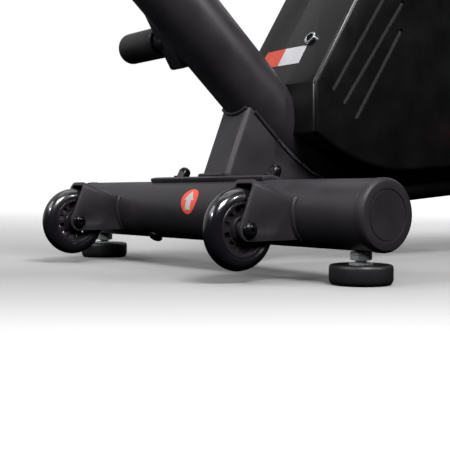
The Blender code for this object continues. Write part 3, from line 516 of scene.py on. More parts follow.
# Each finish: its colour, roughness range, metal, grain (kind, size per metre, depth), and what else it shows.
FINISHES = {
    "black_powder_coat": dict(tint="powder", rough=(0.36, 0.50), grain=("NOISE", 1500.0, 0.00016), wear=0.30,
                              speck=0.10),
    "weld_bead": dict(tint="powder", rough=(0.30, 0.44), grain=("NOISE", 700.0, 0.00030), wear=0.20),
    "black_plastic": dict(tint="plastic", rough=(0.46, 0.60), grain=("NOISE", 2400.0, 0.00012), wear=0.22),
    "black_rubber": dict(tint="rubber", rough=(0.34, 0.50), grain=("NOISE", 1100.0, 0.00012), speck=0.25),
    "zinc_steel": dict(tint="zinc", rough=(0.22, 0.40), metal=0.4, grain=("NOISE", 900.0, 0.00005), streak=12.0),
    "tyre_polyurethane": dict(tint="tyre", rough=(0.20, 0.34), grain=("NOISE", 420.0, 0.00004), speck=0.35,
                              coat=(1.0, 0.05)),
    "hub_plastic": dict(tint="plastic", rough=(0.30, 0.44), grain=("NOISE", 1300.0, 0.00006)),
    "black_steel": dict(tint="tyre", rough=(0.16, 0.30), metal=0.55, grain=("NOISE", 1200.0, 0.00004), wear=0.60),
    "knob_plastic": dict(tint="plastic", rough=(0.40, 0.52), grain=("NOISE", 3000.0, 0.00014), wear=0.15),
    "gloss_housing": dict(tint="gloss", rough=(0.26, 0.36), grain=("NOISE", 1900.0, 0.00005), speck=0.08),
    "console_plastic": dict(tint="gloss", rough=(0.20, 0.32), grain=("NOISE", 1900.0, 0.00004), speck=0.08),
    "jack_metal": dict(tint="zinc", rough=(0.12, 0.24), metal=1.0, grain=("NOISE", 900.0, 0.00003)),
    "cast_iron": dict(tint="iron", rough=(0.40, 0.62), metal=0.9, grain=("NOISE", 800.0, 0.00030)),
    "pulley_plastic": dict(tint="plastic", rough=(0.40, 0.55), grain=("NOISE", 1800.0, 0.00008)),
    "belt_rubber": dict(tint="rubber", rough=(0.55, 0.70), grain=("WAVE", 420.0, 0.00050)),
    "pedal_plastic": dict(tint="plastic", rough=(0.42, 0.58), grain=("NOISE", 1600.0, 0.00014), wear=0.35),
    "chrome_post": dict(tint="chrome", rough=(0.07, 0.14), metal=1.0, grain=("NOISE", 500.0, 0.00002), streak=8.0),
    "saddle_vinyl": dict(tint="vinyl", rough=(0.42, 0.58), grain=("VORONOI", 620.0, 0.00032), sheen=0.15),
    "grip_foam": dict(tint="foam", rough=(0.78, 0.92), grain=("VORONOI", 1500.0, 0.00040), sheen=0.25),
    "arrow_red": dict(tint="arrow", rough=(0.30, 0.42), grain=("NOISE", 800.0, 0.00002)),
    "red_mark": dict(tint="warning", rough=(0.30, 0.42), grain=("NOISE", 800.0, 0.00002)),
    "white_mark": dict(tint="paper", rough=(0.34, 0.46), grain=("NOISE", 800.0, 0.00002)),
    "display_ground": dict(tint="screen", rough=(0.30, 0.38), grain=("NOISE", 900.0, 0.00001), coat=(0.6, 0.04)),
    "reflector": dict(tint="warning", rough=(0.12, 0.20), grain=("VORONOI", 480.0, 0.00060), coat=(1.0, 0.03)),
}


class Tree:
    """A short way to add and link a material's nodes."""

    def __init__(self, material):
        material.use_nodes = True
        self.tree = material.node_tree
        self.shader = self.tree.nodes["Principled BSDF"]

    def add(self, kind, inputs=None, **settings):
        """Add a node, set it up and link or fill its inputs."""
        node = self.tree.nodes.new(kind)
        for key, value in settings.items():
            setattr(node, key, value)
        for key, value in (inputs or {}).items():
            self.fill(node.inputs[key], value)
        return node

    def fill(self, socket, value):
        """Link a socket, or give it a value."""
        if isinstance(value, bpy.types.NodeSocket):
            self.tree.links.new(value, socket)
        else:
            socket.default_value = value

    def mix(self, factor, first, second):
        """Mix two colours."""
        node = self.add("ShaderNodeMix", data_type="RGBA")
        for socket, value in zip((node.inputs[0], node.inputs[6], node.inputs[7]), (factor, first, second)):
            self.fill(socket, value)
        return node.outputs[2]

    def span(self, value, low, high, to_low, to_high):
        """Map a range of values to another."""
        return self.add("ShaderNodeMapRange", {"Value": value, "From Min": low, "From Max": high,
                                               "To Min": to_low, "To Max": to_high}).outputs[0]


def grain_height(tree, place, kind, size):
    """Height of the fine grain."""
    if kind == "VORONOI":
        cells = tree.add("ShaderNodeTexVoronoi", {"Vector": place, "Scale": size}, feature="SMOOTH_F1")
        return cells.outputs["Distance"]
    if kind == "WAVE":
        return tree.add("ShaderNodeTexWave", {"Vector": place, "Scale": size}).outputs["Fac"]
    return tree.add("ShaderNodeTexNoise", {"Vector": place, "Scale": size, "Detail": 3.0}).outputs["Fac"]


def finish(name):
    """A finish by name, made once."""
    if name in bpy.data.materials and bpy.data.materials[name].get("bike_finish"):
        return bpy.data.materials[name]
    facts = FINISHES[name]
    material = bpy.data.materials.new(name)
    material.name = name
    material["bike_finish"] = True
    tree = Tree(material)
    tint = Vector(getattr(colours(), facts["tint"]))
    material.diffuse_color = (*tint, 1.0)
    place = tree.add("ShaderNodeTexCoord").outputs["Object"]
    streak = facts.get("streak", 1.0)
    drawn = tree.add("ShaderNodeMapping", {"Vector": place, "Scale": (1.0, 1.0, streak)}).outputs[0]

    blotch = tree.add("ShaderNodeTexNoise", {"Vector": drawn, "Scale": 26.0, "Detail": 5.0}).outputs["Fac"]
    paint = tree.mix(tree.span(blotch, 0.3, 0.7, 0.0, 1.0), (*(tint * 0.82), 1.0), (*(tint * 1.18), 1.0))
    low, high = facts["rough"]
    rough = tree.span(blotch, 0.3, 0.7, low, high)

    if facts.get("speck"):
        dust = tree.add("ShaderNodeTexNoise", {"Vector": place, "Scale": 1900.0, "Detail": 1.0}).outputs["Fac"]
        mask = tree.span(dust, 0.66, 0.74, 0.0, facts["speck"])
        paint = tree.mix(mask, paint, (*(tint * 2.5 + Vector((0.05, 0.05, 0.05))), 1.0))
    if facts.get("wear"):
        normal = tree.add("ShaderNodeNewGeometry").outputs["Normal"]
        rounded = tree.add("ShaderNodeBevel", {"Radius": 0.0009}, samples=4).outputs[0]
        facing = tree.add("ShaderNodeVectorMath", {0: normal, 1: rounded}, operation="DOT_PRODUCT").outputs["Value"]
        edge = tree.span(facing, 0.97, 0.80, 0.0, facts["wear"])
        rubbed = tree.add("ShaderNodeTexNoise", {"Vector": place, "Scale": 240.0, "Detail": 4.0}).outputs["Fac"]
        amount = tree.add("ShaderNodeMath", {0: edge, 1: tree.span(rubbed, 0.4, 0.6, 0.25, 1.0)},
                          operation="MULTIPLY").outputs[0]
        paint = tree.mix(amount, paint, (*(tint * 2.0 + Vector((0.07, 0.065, 0.07))), 1.0))

    kind, size, depth = facts["grain"]
    bump = tree.add("ShaderNodeBump", {"Height": grain_height(tree, drawn, kind, size), "Distance": depth,
                                       "Strength": 0.6})
    shader = tree.shader.inputs
    for key, value in (("Base Color", paint), ("Roughness", rough), ("Normal", bump.outputs[0])):
        tree.fill(shader[key], value)
    shader["Metallic"].default_value = facts.get("metal", 0.0)
    shader["Coat Weight"].default_value, shader["Coat Roughness"].default_value = facts.get("coat", (0.0, 0.03))
    shader["Sheen Weight"].default_value = facts.get("sheen", 0.0)
    return material


# ---------------------------------------------------------------- pieces


class BikeOperator:
    """What every piece's operator shares."""

    bl_options = {"REGISTER", "UNDO"}


class BIKE_OT_dress(BikeOperator, bpy.types.Operator):
    """Give every frame piece the finish of its slot"""

    bl_idname = "bike.dress"
    bl_label = "Dress the frame"

    def execute(self, context):
        for node, item in frame["nodes"].items():
            item.data.materials.clear()
            item.data.materials.append(finish(SLOTS[node]))
        return {"FINISHED"}


def base_bar(node):
    """A stabiliser: an open tube with turned ends."""
    low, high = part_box(node)
    half = (high.y - low.y) / 2.0
    inner = BASE_RADIUS - BASE_WALL
    edge = sizes().sheet_edge
    profile = [(BASE_RADIUS, half - edge), (BASE_RADIUS, -half + edge), (BASE_RADIUS - edge, -half), (inner, -half),
               (inner, half), (BASE_RADIUS - edge, half)]
    tube = lathe(piece_name(node), profile, middle(node), ACROSS, sizes().round_sides, ring=True)
    settle(tube, node)


def end_cap(node, sign):
    """A moulded end cap: chamfered rim, flat face and a ring groove."""
    low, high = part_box(node)
    outer = (high.z - low.z) / 2.0
    base = middle(node)
    base.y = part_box("front_stabiliser_tube")[1 if sign > 0 else 0].y + sign * GAP
    face = abs((high.y if sign > 0 else low.y) - base.y)
    groove = sizes().cap_groove
    plug = BASE_RADIUS - BASE_WALL - GAP
    profile = [
        (0.0060, face), (groove - 0.0007, face), (groove - 0.0004, face - 0.0008), (groove + 0.0004, face - 0.0008),
        (groove + 0.0007, face), (outer - 0.0030, face), (outer - 0.0024, face - 0.0002),
        (outer - 0.0005, face - 0.0024),
        (outer, face - 0.0034), (outer, 0.0), (plug, 0.0), (plug, -0.0115), (plug - 0.0006, -0.0120),
    ]
    settle(lathe(piece_name(node), profile, base, ACROSS * sign, sizes().round_sides), node)


class BIKE_OT_stabilisers(BikeOperator, bpy.types.Operator):
    """Model both stabilisers and their end caps"""

    bl_idname = "bike.stabilisers"
    bl_label = "Stabilisers"

    def execute(self, context):
        for label in ("front", "rear"):
            base_bar(f"{label}_stabiliser_tube")
            for sign, side in SIDES:
                end_cap(f"{label}_{side}_end_cap", sign)
        return {"FINISHED"}


def wrapped(name, outline, node, look, lift):
    """A thin sticker of (y, z) points wrapped on the front of the front stabiliser."""
    pick_nothing()
    bpy.ops.mesh.primitive_circle_add(vertices=len(outline), fill_type="NGON")
    item = named(name)
    for vert, (y, z) in zip(item.data.vertices, outline):
        vert.co = (0.0, y, z)
    bpy.ops.object.mode_set(mode="EDIT")
    heights = [z for y, z in outline]
    rows, film = 14, 0.00012
    for i in range(1, rows):
        level = min(heights) + (max(heights) - min(heights)) * i / rows
        bpy.ops.mesh.select_all(action="SELECT")
        bpy.ops.mesh.bisect(plane_co=(0.0, 0.0, level), plane_no=(0.0, 0.0, 1.0))
    bpy.ops.object.mode_set(mode="OBJECT")
    for vert in item.data.vertices:
        turn = vert.co.z / BASE_RADIUS
        reach = BASE_RADIUS + lift
        vert.co = spot(reach * math.cos(turn), vert.co.y, AXIS.z + reach * math.sin(turn))
    change(item, "SOLIDIFY", thickness=film, offset=0.0)
    return settle(close_up(item), node, look, stands_for=False)


class BIKE_OT_arrow_mark(BikeOperator, bpy.types.Operator):
    """Model the red oval with its white arrow on the front stabiliser"""

    bl_idname = "bike.arrow_mark"
    bl_label = "Arrow mark"

    def execute(self, context):
        node = "front_stabiliser_tube"
        centre_y, centre_z = 0.0045, 0.0120
        oval = []
        for i in range(48):
            turn = math.tau * i / 48
            wide = 0.0150 * (1.0 + 0.14 * math.sin(turn))
            oval.append((centre_y - wide * math.cos(turn), centre_z + 0.0155 * math.sin(turn)))
        wrapped("ArrowMarkOval", oval, node, "arrow_red", 0.00015)
        arrow = [(-0.0048, -0.0105), (0.0042, -0.0105), (0.0046, 0.0010), (0.0090, 0.0010), (0.0, 0.0128),
                 (-0.0092, 0.0010), (-0.0050, 0.0010)]
        outline = [(centre_y + y, centre_z + z) for y, z in arrow]
        wrapped("ArrowMarkArrow", outline, node, "white_mark", 0.00032)
        return {"FINISHED"}


def foot(label):
    """A levelling foot: moulded pad, threaded stud and zinc collar."""
    node = f"{label}_foot"
    low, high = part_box(node)
    base = middle(node)
    base.z = low.z
    outer = (high.x - low.x) / 2.0
    top = 0.0198
    pad = [
        (outer - 0.0040, 0.0), (outer - 0.0016, 0.0012), (outer - 0.0005, 0.0032), (outer, 0.0060),
        (outer, top - 0.0036), (outer - 0.0005, top - 0.0018), (outer - 0.0016, top - 0.0006),
        (outer - 0.0030, top - 0.0003),
        (outer - 0.0044, top - 0.0008), (outer - 0.0056, top - 0.0014), (0.0158, top - 0.0018),
        (0.0145, top - 0.0008),
        (0.0136, top - 0.0006), (0.0125, top - 0.0010), (0.0122, top - 0.0040),
    ]
    name = piece_name(label)
    body = lathe(f"{name}FootPad", pad, base, UP, sizes().round_sides)
    settle(body, node)
    collar = lathe(f"{name}FootCollar", [(0.0118, top - 0.0038), (0.0118, top + 0.0004), (0.0110, top + 0.0012),
                                         (0.0070, top + 0.0014), (0.0062, top + 0.0016)], base, UP, 48)
    stud = 0.0059
    thread = [(stud - 0.0005, top)]
    steps = int((high.z - top - 0.002) / 0.0014)
    for i in range(steps):
        level = top + 0.0014 * i
        thread += [(stud - 0.0005, level + 0.0002), (stud, level + 0.0008)]
    thread.append((stud - 0.0010, high.z))
    screw = lathe(f"{name}FootStud", thread, base, UP, 32)
    for item in (collar, screw):
        settle(item, node, "zinc_steel", stands_for=False)


LOCK_NUT_FLATS = 0.019
LOCK_NUT_BORE = 0.0066


def hexagon(name, base, direction, flats, thick, bore=0.0):
    """A hexagon nut with turned-off corners."""
    pick_nothing()
    bpy.ops.mesh.primitive_cylinder_add(vertices=6, radius=flats / math.sqrt(3.0), depth=thick)
    nut = named(name)
    nut.location.z = thick / 2.0
    apply_place(nut)
    wide = flats / math.sqrt(3.0) + 0.0004
    slope = 0.0012
    dome = lathe("corners", [(flats / 2.0 * 0.93, 0.0), (wide, slope), (wide, thick - slope),
                             (flats / 2.0 * 0.93, thick)],
                 Vector(), UP, 48)
    cut(nut, dome, "INTERSECT")
    if bore:
        cut(nut, bar("bore", Vector((0, 0, -0.01)), Vector((0, 0, thick + 0.01)), bore, 32))
    return aim(nut, base, direction)


class BIKE_OT_feet(BikeOperator, bpy.types.Operator):
    """Model the four levelling feet and their lock nuts"""

    bl_idname = "bike.feet"
    bl_label = "Levelling feet"

    def execute(self, context):
        for label in ("front", "rear"):
            for _, side in SIDES:
                foot(f"{label}_{side}")
                node = f"{label}_{side}_lock_nut"
                low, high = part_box(node)
                base = middle(node)
                base.z = low.z
                name = piece_name(node)
                settle(hexagon(name, base, UP, LOCK_NUT_FLATS, high.z - low.z, LOCK_NUT_BORE), node)
        return {"FINISHED"}


def fork_outline(drop=0.0):
    """Side outline of a wheel fork; the inside is the same line dropped."""
    points = [(FORK_REAR[0], FORK_REAR[1] - drop), (FORK_TOP[0], FORK_TOP[1] - drop)]
    if drop:
        return points + [(0.130, FORK_TOP[1] - drop), (0.130, 0.020), (0.018, 0.020)]
    wheel = middle("left_wheel_hub")
    eye = arc((wheel.x - AXIS.x, wheel.z), FORK_EYE, 25.0, -90.0, 16)
    return points + eye + [(FORK_REAR[0], FORK_BOTTOM)]


def round_top(item, width, segments):
    """Round the long upper edges of a channel."""
    pick(item)
    bpy.ops.object.mode_set(mode="EDIT")
    bpy.ops.mesh.select_mode(type="EDGE")
    bpy.ops.mesh.select_all(action="DESELECT")
    bpy.ops.object.mode_set(mode="OBJECT")
    verts = item.data.vertices
    for edge in item.data.edges:
        a, b = (verts[i].co for i in edge.vertices)
        run = b - a
        long_run = abs(run.y) < 0.0001 and abs(run.x) > 0.03
        edge.select = long_run and min(a.z, b.z) > 0.060
    bpy.ops.object.mode_set(mode="EDIT")
    bpy.ops.mesh.bevel(offset=width, segments=segments, affect="EDGES")
    bpy.ops.object.mode_set(mode="OBJECT")


def wheel_fork(side, sign):
    """A folded channel fork, trimmed to the stabiliser and welded on."""
    node = f"{side}_wheel_fork"
    low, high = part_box(node)
    centre = (low.y + high.y) / 2.0
    half = (high.y - low.y) / 2.0
    name = f"{side.title()}WheelFork"
    shell = prism(name, fork_outline(), low.y, high.y)
    round_top(shell, 0.0070, 6)
    inner = half - FORK_SHEET
    hollow = prism("fork_hollow", fork_outline(FORK_SHEET), centre - inner, centre + inner)
    round_top(hollow, 0.0040, 5)
    cut(shell, hollow)
    seat = middle("front_stabiliser_tube")
    cut(shell, bar("seat", seat + ACROSS * (centre - 0.05), seat + ACROSS * (centre + 0.05), BASE_RADIUS + GAP, 128))
    hub = middle(f"{side}_wheel_hub")
    cut(shell, bar("eye", hub - ACROSS * 0.03, hub + ACROSS * 0.03, 0.0046, 32))
    soften(shell, sizes().sheet_edge, 2, 40.0)
    settle(shell, node)
    for face, label in ((half + 0.0006, "Outer"), (-half - 0.0006, "Inner")):
        y = centre + face * sign
        line = []
        for i in range(25):
            height = 0.0835 - (0.0835 - FORK_BOTTOM) * i / 24 - AXIS.z
            reach = math.sqrt((BASE_RADIUS + 0.0004) ** 2 - height ** 2)
            line.append(spot(reach, y, AXIS.z + height))
        weld(f"{name}{label}Weld", line, node, thick=1.15)


def wheel(side):
    """A tyre, its hub with windows, and the axle bolt."""
    node = f"{side}_wheel_tyre"
    name = f"{side.title()}Wheel"
    low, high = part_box(node)
    outer, half = (high.z - low.z) / 2.0, (high.y - low.y) / 2.0
    centre = middle(node)
    crown = outer - half
    seat = 0.0278
    tread = [(r, h) for r, h in arc((crown, 0.0), half, 90.0, -90.0, 33)]
    tread[16] = (outer + 0.00012, 0.0)
    section = tread + [(crown - 0.0004, -half + 0.0004), (seat + 0.0006, -half + 0.0004), (seat, -half + 0.0010),
                       (seat, half - 0.0010), (seat + 0.0006, half - 0.0004), (crown - 0.0004, half - 0.0004)]
    settle(lathe(f"{name}Tyre", section, centre, ACROSS, 128, ring=True), node)

    rim, web, bore = 0.0275, 0.0062, 0.0043
    edge = half - 0.0010
    hub_side = [(rim, edge - 0.0004), (rim - 0.0005, edge), (0.0251, edge), (0.0243, edge - 0.0008), (0.0240, web),
                (0.0142, web), (0.0138, web + 0.0012), (0.0128, web + 0.0022), (0.0118, web + 0.0022),
                (0.0112, web + 0.0010),
                (0.0096, web + 0.0010), (0.0092, edge - 0.0004), (0.0088, edge), (bore, edge)]
    section = hub_side + [(r, -h) for r, h in reversed(hub_side)]
    hub = lathe(f"{name}Hub", section, centre, ACROSS, 96, ring=True)
    window = slab("window", Vector((0.0190, 0.0, 0.0)), (0.0066, 0.0064, 0.040), UP, 0.0009, 2)
    turned = [Matrix.Rotation(math.tau * (i + 0.5) / 12, 4, "Z") for i in range(12)]
    tools = copied(window, "window", turned)
    bpy.data.objects.remove(window, do_unlink=True)
    tool = merged("windows", tools)
    cut(hub, aim(tool, centre, ACROSS))
    settle(hub, f"{side}_wheel_hub")

    reach = (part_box(f"{side}_wheel_fork")[1].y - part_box(f"{side}_wheel_fork")[0].y) / 2.0 + GAP
    bolt = [(0.0012, reach + 0.0052), (0.0030, reach + 0.0050), (0.0048, reach + 0.0045), (0.0062, reach + 0.0036),
            (0.0073, reach + 0.0026), (0.0080, reach + 0.0016), (0.0084, reach + 0.0008), (0.0085, reach + 0.0003),
            (0.0085, reach), (0.0040, reach), (0.0040, -reach), (0.0085, -reach), (0.0085, -reach - 0.0008),
            (0.0078, -reach - 0.0016), (0.0060, -reach - 0.0028), (0.0036, -reach - 0.0034)]
    pin = lathe(f"{name}AxleBolt", bolt, centre, ACROSS, 64)
    socket_top = centre + ACROSS * (reach + 0.008)
    cut(pin, bar("socket", centre + ACROSS * (reach + 0.0018), socket_top, 0.0029, 6))
    settle(pin, f"{side}_wheel_axle_bolt")


class BIKE_OT_wheels(BikeOperator, bpy.types.Operator):
    """Model both transport wheels and their forks"""

    bl_idname = "bike.wheels"
    bl_label = "Transport wheels"

    def execute(self, context):
        for sign, side in SIDES:
            wheel_fork(side, sign)
            wheel(side)
        return {"FINISHED"}


def saddle_outline(x, inner, outer, front, rear, count):
    """Outline of a curved plate over a stabiliser."""
    centre = (x, AXIS.z)
    return (arc(centre, outer, 90.0 - front, 90.0 + rear, count)
            + arc(centre, inner, 90.0 + rear, 90.0 - front, count))


def fixing_bolt(side, sign):
    """A fixing bolt with its washer, hexagon and domed cap nut."""
    node = f"front_{side}_fixing_bolt"
    lean = heading(-29.0)
    line = middle("front_stabiliser_tube") + ACROSS * (sign * 0.088)
    name = piece_name(node)
    seat = -(BASE_RADIUS + 0.0016)
    end = BASE_RADIUS + GAP + 0.005 + 0.014
    shape = [(0.0036, end), (0.0044, end - 0.0008), (0.0044, seat), (0.0090, seat), (0.0090, seat - 0.0010),
             (0.0082, seat - 0.0030), (0.0062, seat - 0.0048), (0.0030, seat - 0.0058), (0.0010, seat - 0.0060)]
    settle(lathe(name, shape, line, lean, 48), node)
    node = f"front_{side}_cap_nut"
    base = line + lean * (BASE_RADIUS + GAP + 0.005 + 0.0011)
    nut = hexagon("cap_nut", base + lean * 0.0018, lean, 0.0147, 0.0078, 0.0050)
    dome = lathe("dome", [(0.0050, 0.0040), (0.0072, 0.0040), (0.0074, 0.0110), (0.0071, 0.0130), (0.0062, 0.0150),
                          (0.0048, 0.0166), (0.0028, 0.0175), (0.0012, 0.0178), (0.0012, 0.0160), (0.0050, 0.0144)],
                 base, lean, 48, ring=True)
    washer = lathe("washer", [(0.0050, 0.0), (0.0102, 0.0), (0.0105, 0.0004), (0.0105, 0.0012), (0.0101, 0.0016),
                              (0.0050, 0.0016)], base, lean, 64, ring=True)
    whole = merged(piece_name(node), [nut, dome, washer])
    settle(whole, node)


def path_between(points, start, end):
    """The part of a line whose X lies between two places."""
    dense = [a.lerp(b, i / 20) for a, b in zip(points, points[1:]) for i in range(20)]
    return [p for p in dense if start <= p.x <= end]


class BIKE_OT_pedestals(BikeOperator, bpy.types.Operator):
    """Model the saddle plate, its bolts, both pedestals and their welds"""

    bl_idname = "bike.pedestals"
    bl_label = "Pedestals"

    def execute(self, context):
        node = "front_saddle_plate"
        low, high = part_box(node)
        inner = BASE_RADIUS + GAP
        outer = inner + 0.005
        plate = prism("FrontSaddlePlate", saddle_outline(0.0, inner, outer, 17.0, 76.0, 48), low.y, high.y)
        soften(plate, 0.0008, 2, 50.0)
        settle(plate, node)
        for sign, side in SIDES:
            fixing_bolt(side, sign)
        self.front(outer)
        self.rear(inner, outer)
        return {"FINISHED"}

    def front(self, outer):
        """The leaning box between the saddle plate and the main tube."""
        node = "front_pedestal"
        lean = math.tan(math.radians(PEDESTAL_LEAN))
        foot_x, foot_z, rise = -0.002, 0.100, 0.115
        outline = [(foot_x, foot_z), (foot_x - rise * lean, foot_z + rise), (-0.165, 0.135), (-0.165, 0.097),
                   (-0.055, 0.078)]
        box = prism("FrontPedestal", outline, -PEDESTAL_HALF, PEDESTAL_HALF)
        soften(box, 0.0060, 6)
        cut(box, sweep("tube_space", main_path(count=36), 0.038 + GAP, 96))
        base = middle("front_stabiliser_tube")
        cut(box, bar("seat", base - ACROSS * 0.05, base + ACROSS * 0.05, outer + GAP, 128))
        settle(box, node)
        edge = PEDESTAL_HALF + 0.0006
        drop = math.sqrt(TUBE_RADIUS ** 2 - edge ** 2)
        for sign, side in SIDES:
            line = path_between(main_path(drop + 0.0006, 60), AXIS.x - 0.160, AXIS.x - 0.044)
            weld(f"PedestalTop{side.title()}Weld", [p + ACROSS * (sign * edge) for p in line], node)
            foot_line = [spot(x, sign * edge, z) for x, z in arc((0.0, AXIS.z), outer + 0.0012, 94.0, 158.0, 30)]
            weld(f"PedestalFoot{side.title()}Weld", foot_line, node)
        front_x = (outer + 0.0014) * math.cos(math.radians(93.0))
        front_z = AXIS.z + (outer + 0.0014) * math.sin(math.radians(93.0))
        weld("PedestalFootFrontWeld", [spot(front_x, y, front_z) for y in (-0.0215, 0.0215)], node)
        self.top_front(node, lean, foot_x, foot_z)

    def top_front(self, node, lean, foot_x, foot_z):
        """The weld across the pedestal's front, under the main tube."""
        head, corner = (spot(x, 0.0, z) for x, z in TUBE_POINTS[:2])
        run = (corner - head).normalized()
        line = []
        for i in range(17):
            y = -0.0225 + 0.045 * i / 16
            for step in range(400):
                z = foot_z + 0.080 + step * 0.0002
                point = spot(foot_x - (z - foot_z) * lean + 0.0008, y, z)
                if (point - head).cross(run).length < TUBE_RADIUS + 0.0010:
                    line.append(point)
                    break
        if line:
            weld("PedestalTopFrontWeld", line, node)

    def rear(self, inner, outer):
        """The short block and curved plate on the rear stabiliser."""
        node = "rear_pedestal"
        x = REAR_X
        body = prism("RearPedestal", [(x - 0.030, 0.085), (x - 0.030, 0.165), (x + 0.055, 0.165), (x + 0.040, 0.085)],
                     -0.030, 0.030)
        soften(body, 0.0060, 4)
        plate = prism("rear_plate", saddle_outline(x, inner + 0.0001, outer, 40.0, 40.0, 40), -0.090, 0.090)
        cut(body, plate, "UNION")
        base = middle("rear_stabiliser_tube")
        cut(body, bar("seat", base - ACROSS * 0.10, base + ACROSS * 0.10, inner, 128))
        cut(body, sweep("tube_space", main_path(count=36), TUBE_RADIUS + GAP, 96))
        soften(body, 0.0005, 1, 50.0)
        settle(body, node)
        for sign, side in SIDES:
            foot_line = [spot(px, sign * 0.0306, pz) for px, pz in arc((x, AXIS.z), outer + 0.0010, 66.0, 124.0, 24)]
            weld(f"RearPedestal{side.title()}Weld", foot_line, node)
            edge = 0.0306
            drop = math.sqrt(TUBE_RADIUS ** 2 - edge ** 2)
            start, end = main_path(drop + 0.0006)[-2:]
            points = [self.at_x(start, end, AXIS.x + x - 0.026), self.at_x(start, end, AXIS.x + x + 0.050)]
            weld(f"RearPedestalTop{side.title()}Weld", [p + ACROSS * (sign * edge) for p in points], node)

    @staticmethod
    def at_x(start, end, x):
        """The point at X on the straight line through two points."""
        part = (x - start.x) / (end.x - start.x)
        return start + (end - start) * part


class BIKE_OT_frame_tubes(BikeOperator, bpy.types.Operator):
    """Model the main tube, the mast sleeve, the mast and the seat tube"""

    bl_idname = "bike.frame_tubes"
    bl_label = "Frame tubes"

    def execute(self, context):
        path = main_path(count=36)
        tube = sweep("MainTube", path, TUBE_RADIUS, 96)
        inner = TUBE_RADIUS - TUBE_WALL
        cut(tube, bar("mouth", sleeve_point(0.0) - arm_direction() * 0.010, sleeve_point(SLEEVE_LENGTH * 2.0), inner,
                      96))
        cut(tube, knob_drill(0.0080))
        soften(tube, 0.0008, 2, 60.0)
        settle(tube, "main_tube")
        self.mast(inner - GAP)
        self.knob_boss()
        self.seat_tube()
        return {"FINISHED"}

    def mast(self, outer):
        """The mast and the sleeve that holds it in the main tube's mouth."""
        edge = 0.0010
        collar = SLEEVE_LENGTH - SLEEVE_COLLAR + GAP
        bore = MAST_RADIUS + GAP
        profile = [
            (TUBE_RADIUS - edge, SLEEVE_LENGTH), (TUBE_RADIUS, SLEEVE_LENGTH - edge), (TUBE_RADIUS, collar + edge),
            (TUBE_RADIUS - edge, collar), (outer, collar), (outer, edge), (outer - edge, 0.0), (bore, 0.0),
            (bore, SLEEVE_LENGTH - edge), (bore + edge, SLEEVE_LENGTH),
        ]
        sleeve = lathe("MastSleeve", profile, sleeve_point(0.0), arm_direction(), 96, ring=True)
        cut(sleeve, knob_drill(0.0075))
        settle(sleeve, "mast_sleeve")
        mast = sweep("Mast", mast_path(36), MAST_RADIUS, 72)
        soften(mast, 0.0008, 2, 60.0)
        settle(mast, "mast")

    def knob_boss(self):
        """The boss on the main tube's right that the mast knob screws through."""
        boss = prism("KnobBoss", BOSS_OUTLINE, *BOSS_SIDES)
        soften(boss, 0.0035, 4)
        cut(boss, sweep("boss_seat", main_path(count=36), TUBE_RADIUS + GAP, 96))
        cut(boss, knob_drill(0.0075))
        settle(boss, "knob_boss")

    def seat_tube(self):
        """The seat tube with its pull pin and plastic bushing."""
        up = heading(SEAT_LEAN)
        length = SEAT_TUBE_LENGTH
        edge = 0.0010
        bore = SEAT_TUBE_RADIUS - 0.0040
        profile = [(SEAT_TUBE_RADIUS, length - edge), (SEAT_TUBE_RADIUS, 0.0), (bore, 0.0), (bore, length),
                   (SEAT_TUBE_RADIUS - edge, length)]
        tube = lathe("SeatTube", profile, seat_point(0.0), up, 80, ring=True)
        cut(tube, sweep("foot_space", main_path(count=24), TUBE_RADIUS + GAP, 96))
        pin = seat_point(length - 0.030)
        cut(tube, bar("pin_hole", pin, pin + ACROSS * 0.05, 0.0085))
        settle(tube, "seat_tube")
        boss = lathe("SeatTubePinBoss", [(0.0086, SEAT_TUBE_RADIUS - 0.004), (0.0130, SEAT_TUBE_RADIUS - 0.004),
                                         (0.0130, SEAT_TUBE_RADIUS + 0.0050), (0.0122, SEAT_TUBE_RADIUS + 0.0058),
                                         (0.0086, SEAT_TUBE_RADIUS + 0.0058)], pin, ACROSS, 48, ring=True)
        settle(boss, "seat_tube", stands_for=False)
        sleeve = POST_RADIUS + GAP
        rim = SEAT_TUBE_RADIUS + 0.003
        bushing = [
            (sleeve + 0.0012, 0.0100), (rim - 0.0040, 0.0100), (rim - 0.0010, 0.0086), (rim, 0.0062), (rim, GAP),
            (bore - GAP, GAP), (bore - GAP, -0.018), (sleeve, -0.018), (sleeve, 0.0090),
        ]
        settle(lathe("SeatBushing", bushing, seat_point(length), up, 80, ring=True), "seat_bushing")
        grip = [(0.0080, 0.0), (0.0080, 0.0150), (0.0120, 0.0160), (0.0155, 0.0185), (0.0160, 0.0210),
                (0.0160, 0.0455),
                (0.0150, 0.0490), (0.0120, 0.0512), (0.0060, 0.0520)]
        knob = fluted("SeatPostPin", grip, pin + ACROSS * (POST_RADIUS + 0.0006), ACROSS, 10, 0.0024,
                      (0.0200, 0.0480))
        settle(knob, "seat_post_pin")


def knob_drill(radius):
    """A drill along the mast knob's screw."""
    start = spot(KNOB_PLACE[0], 0.0, KNOB_PLACE[2])
    return bar("knob_drill", start, start - ACROSS * 0.06, radius)


def fluted(name, profile, base, direction, count, width, span):
    """A turned knob with finger flutes cut along its rim."""
    knob = lathe(name, profile, Vector(), UP, 80)
    outer = max(radius for radius, _ in profile)
    flute = bar("flute", Vector((outer + width * 0.35, 0.0, span[0])), Vector((outer + width * 0.35, 0.0, span[1])),
                width, 16)
    soften(flute, width * 0.5, 3)
    turned = [Matrix.Rotation(math.tau * (i + 0.5) / count, 4, "Z") for i in range(count)]
    tools = copied(flute, "flute", turned)
    bpy.data.objects.remove(flute, do_unlink=True)
    cut(knob, merged("flutes", tools))
    return aim(knob, base, direction)


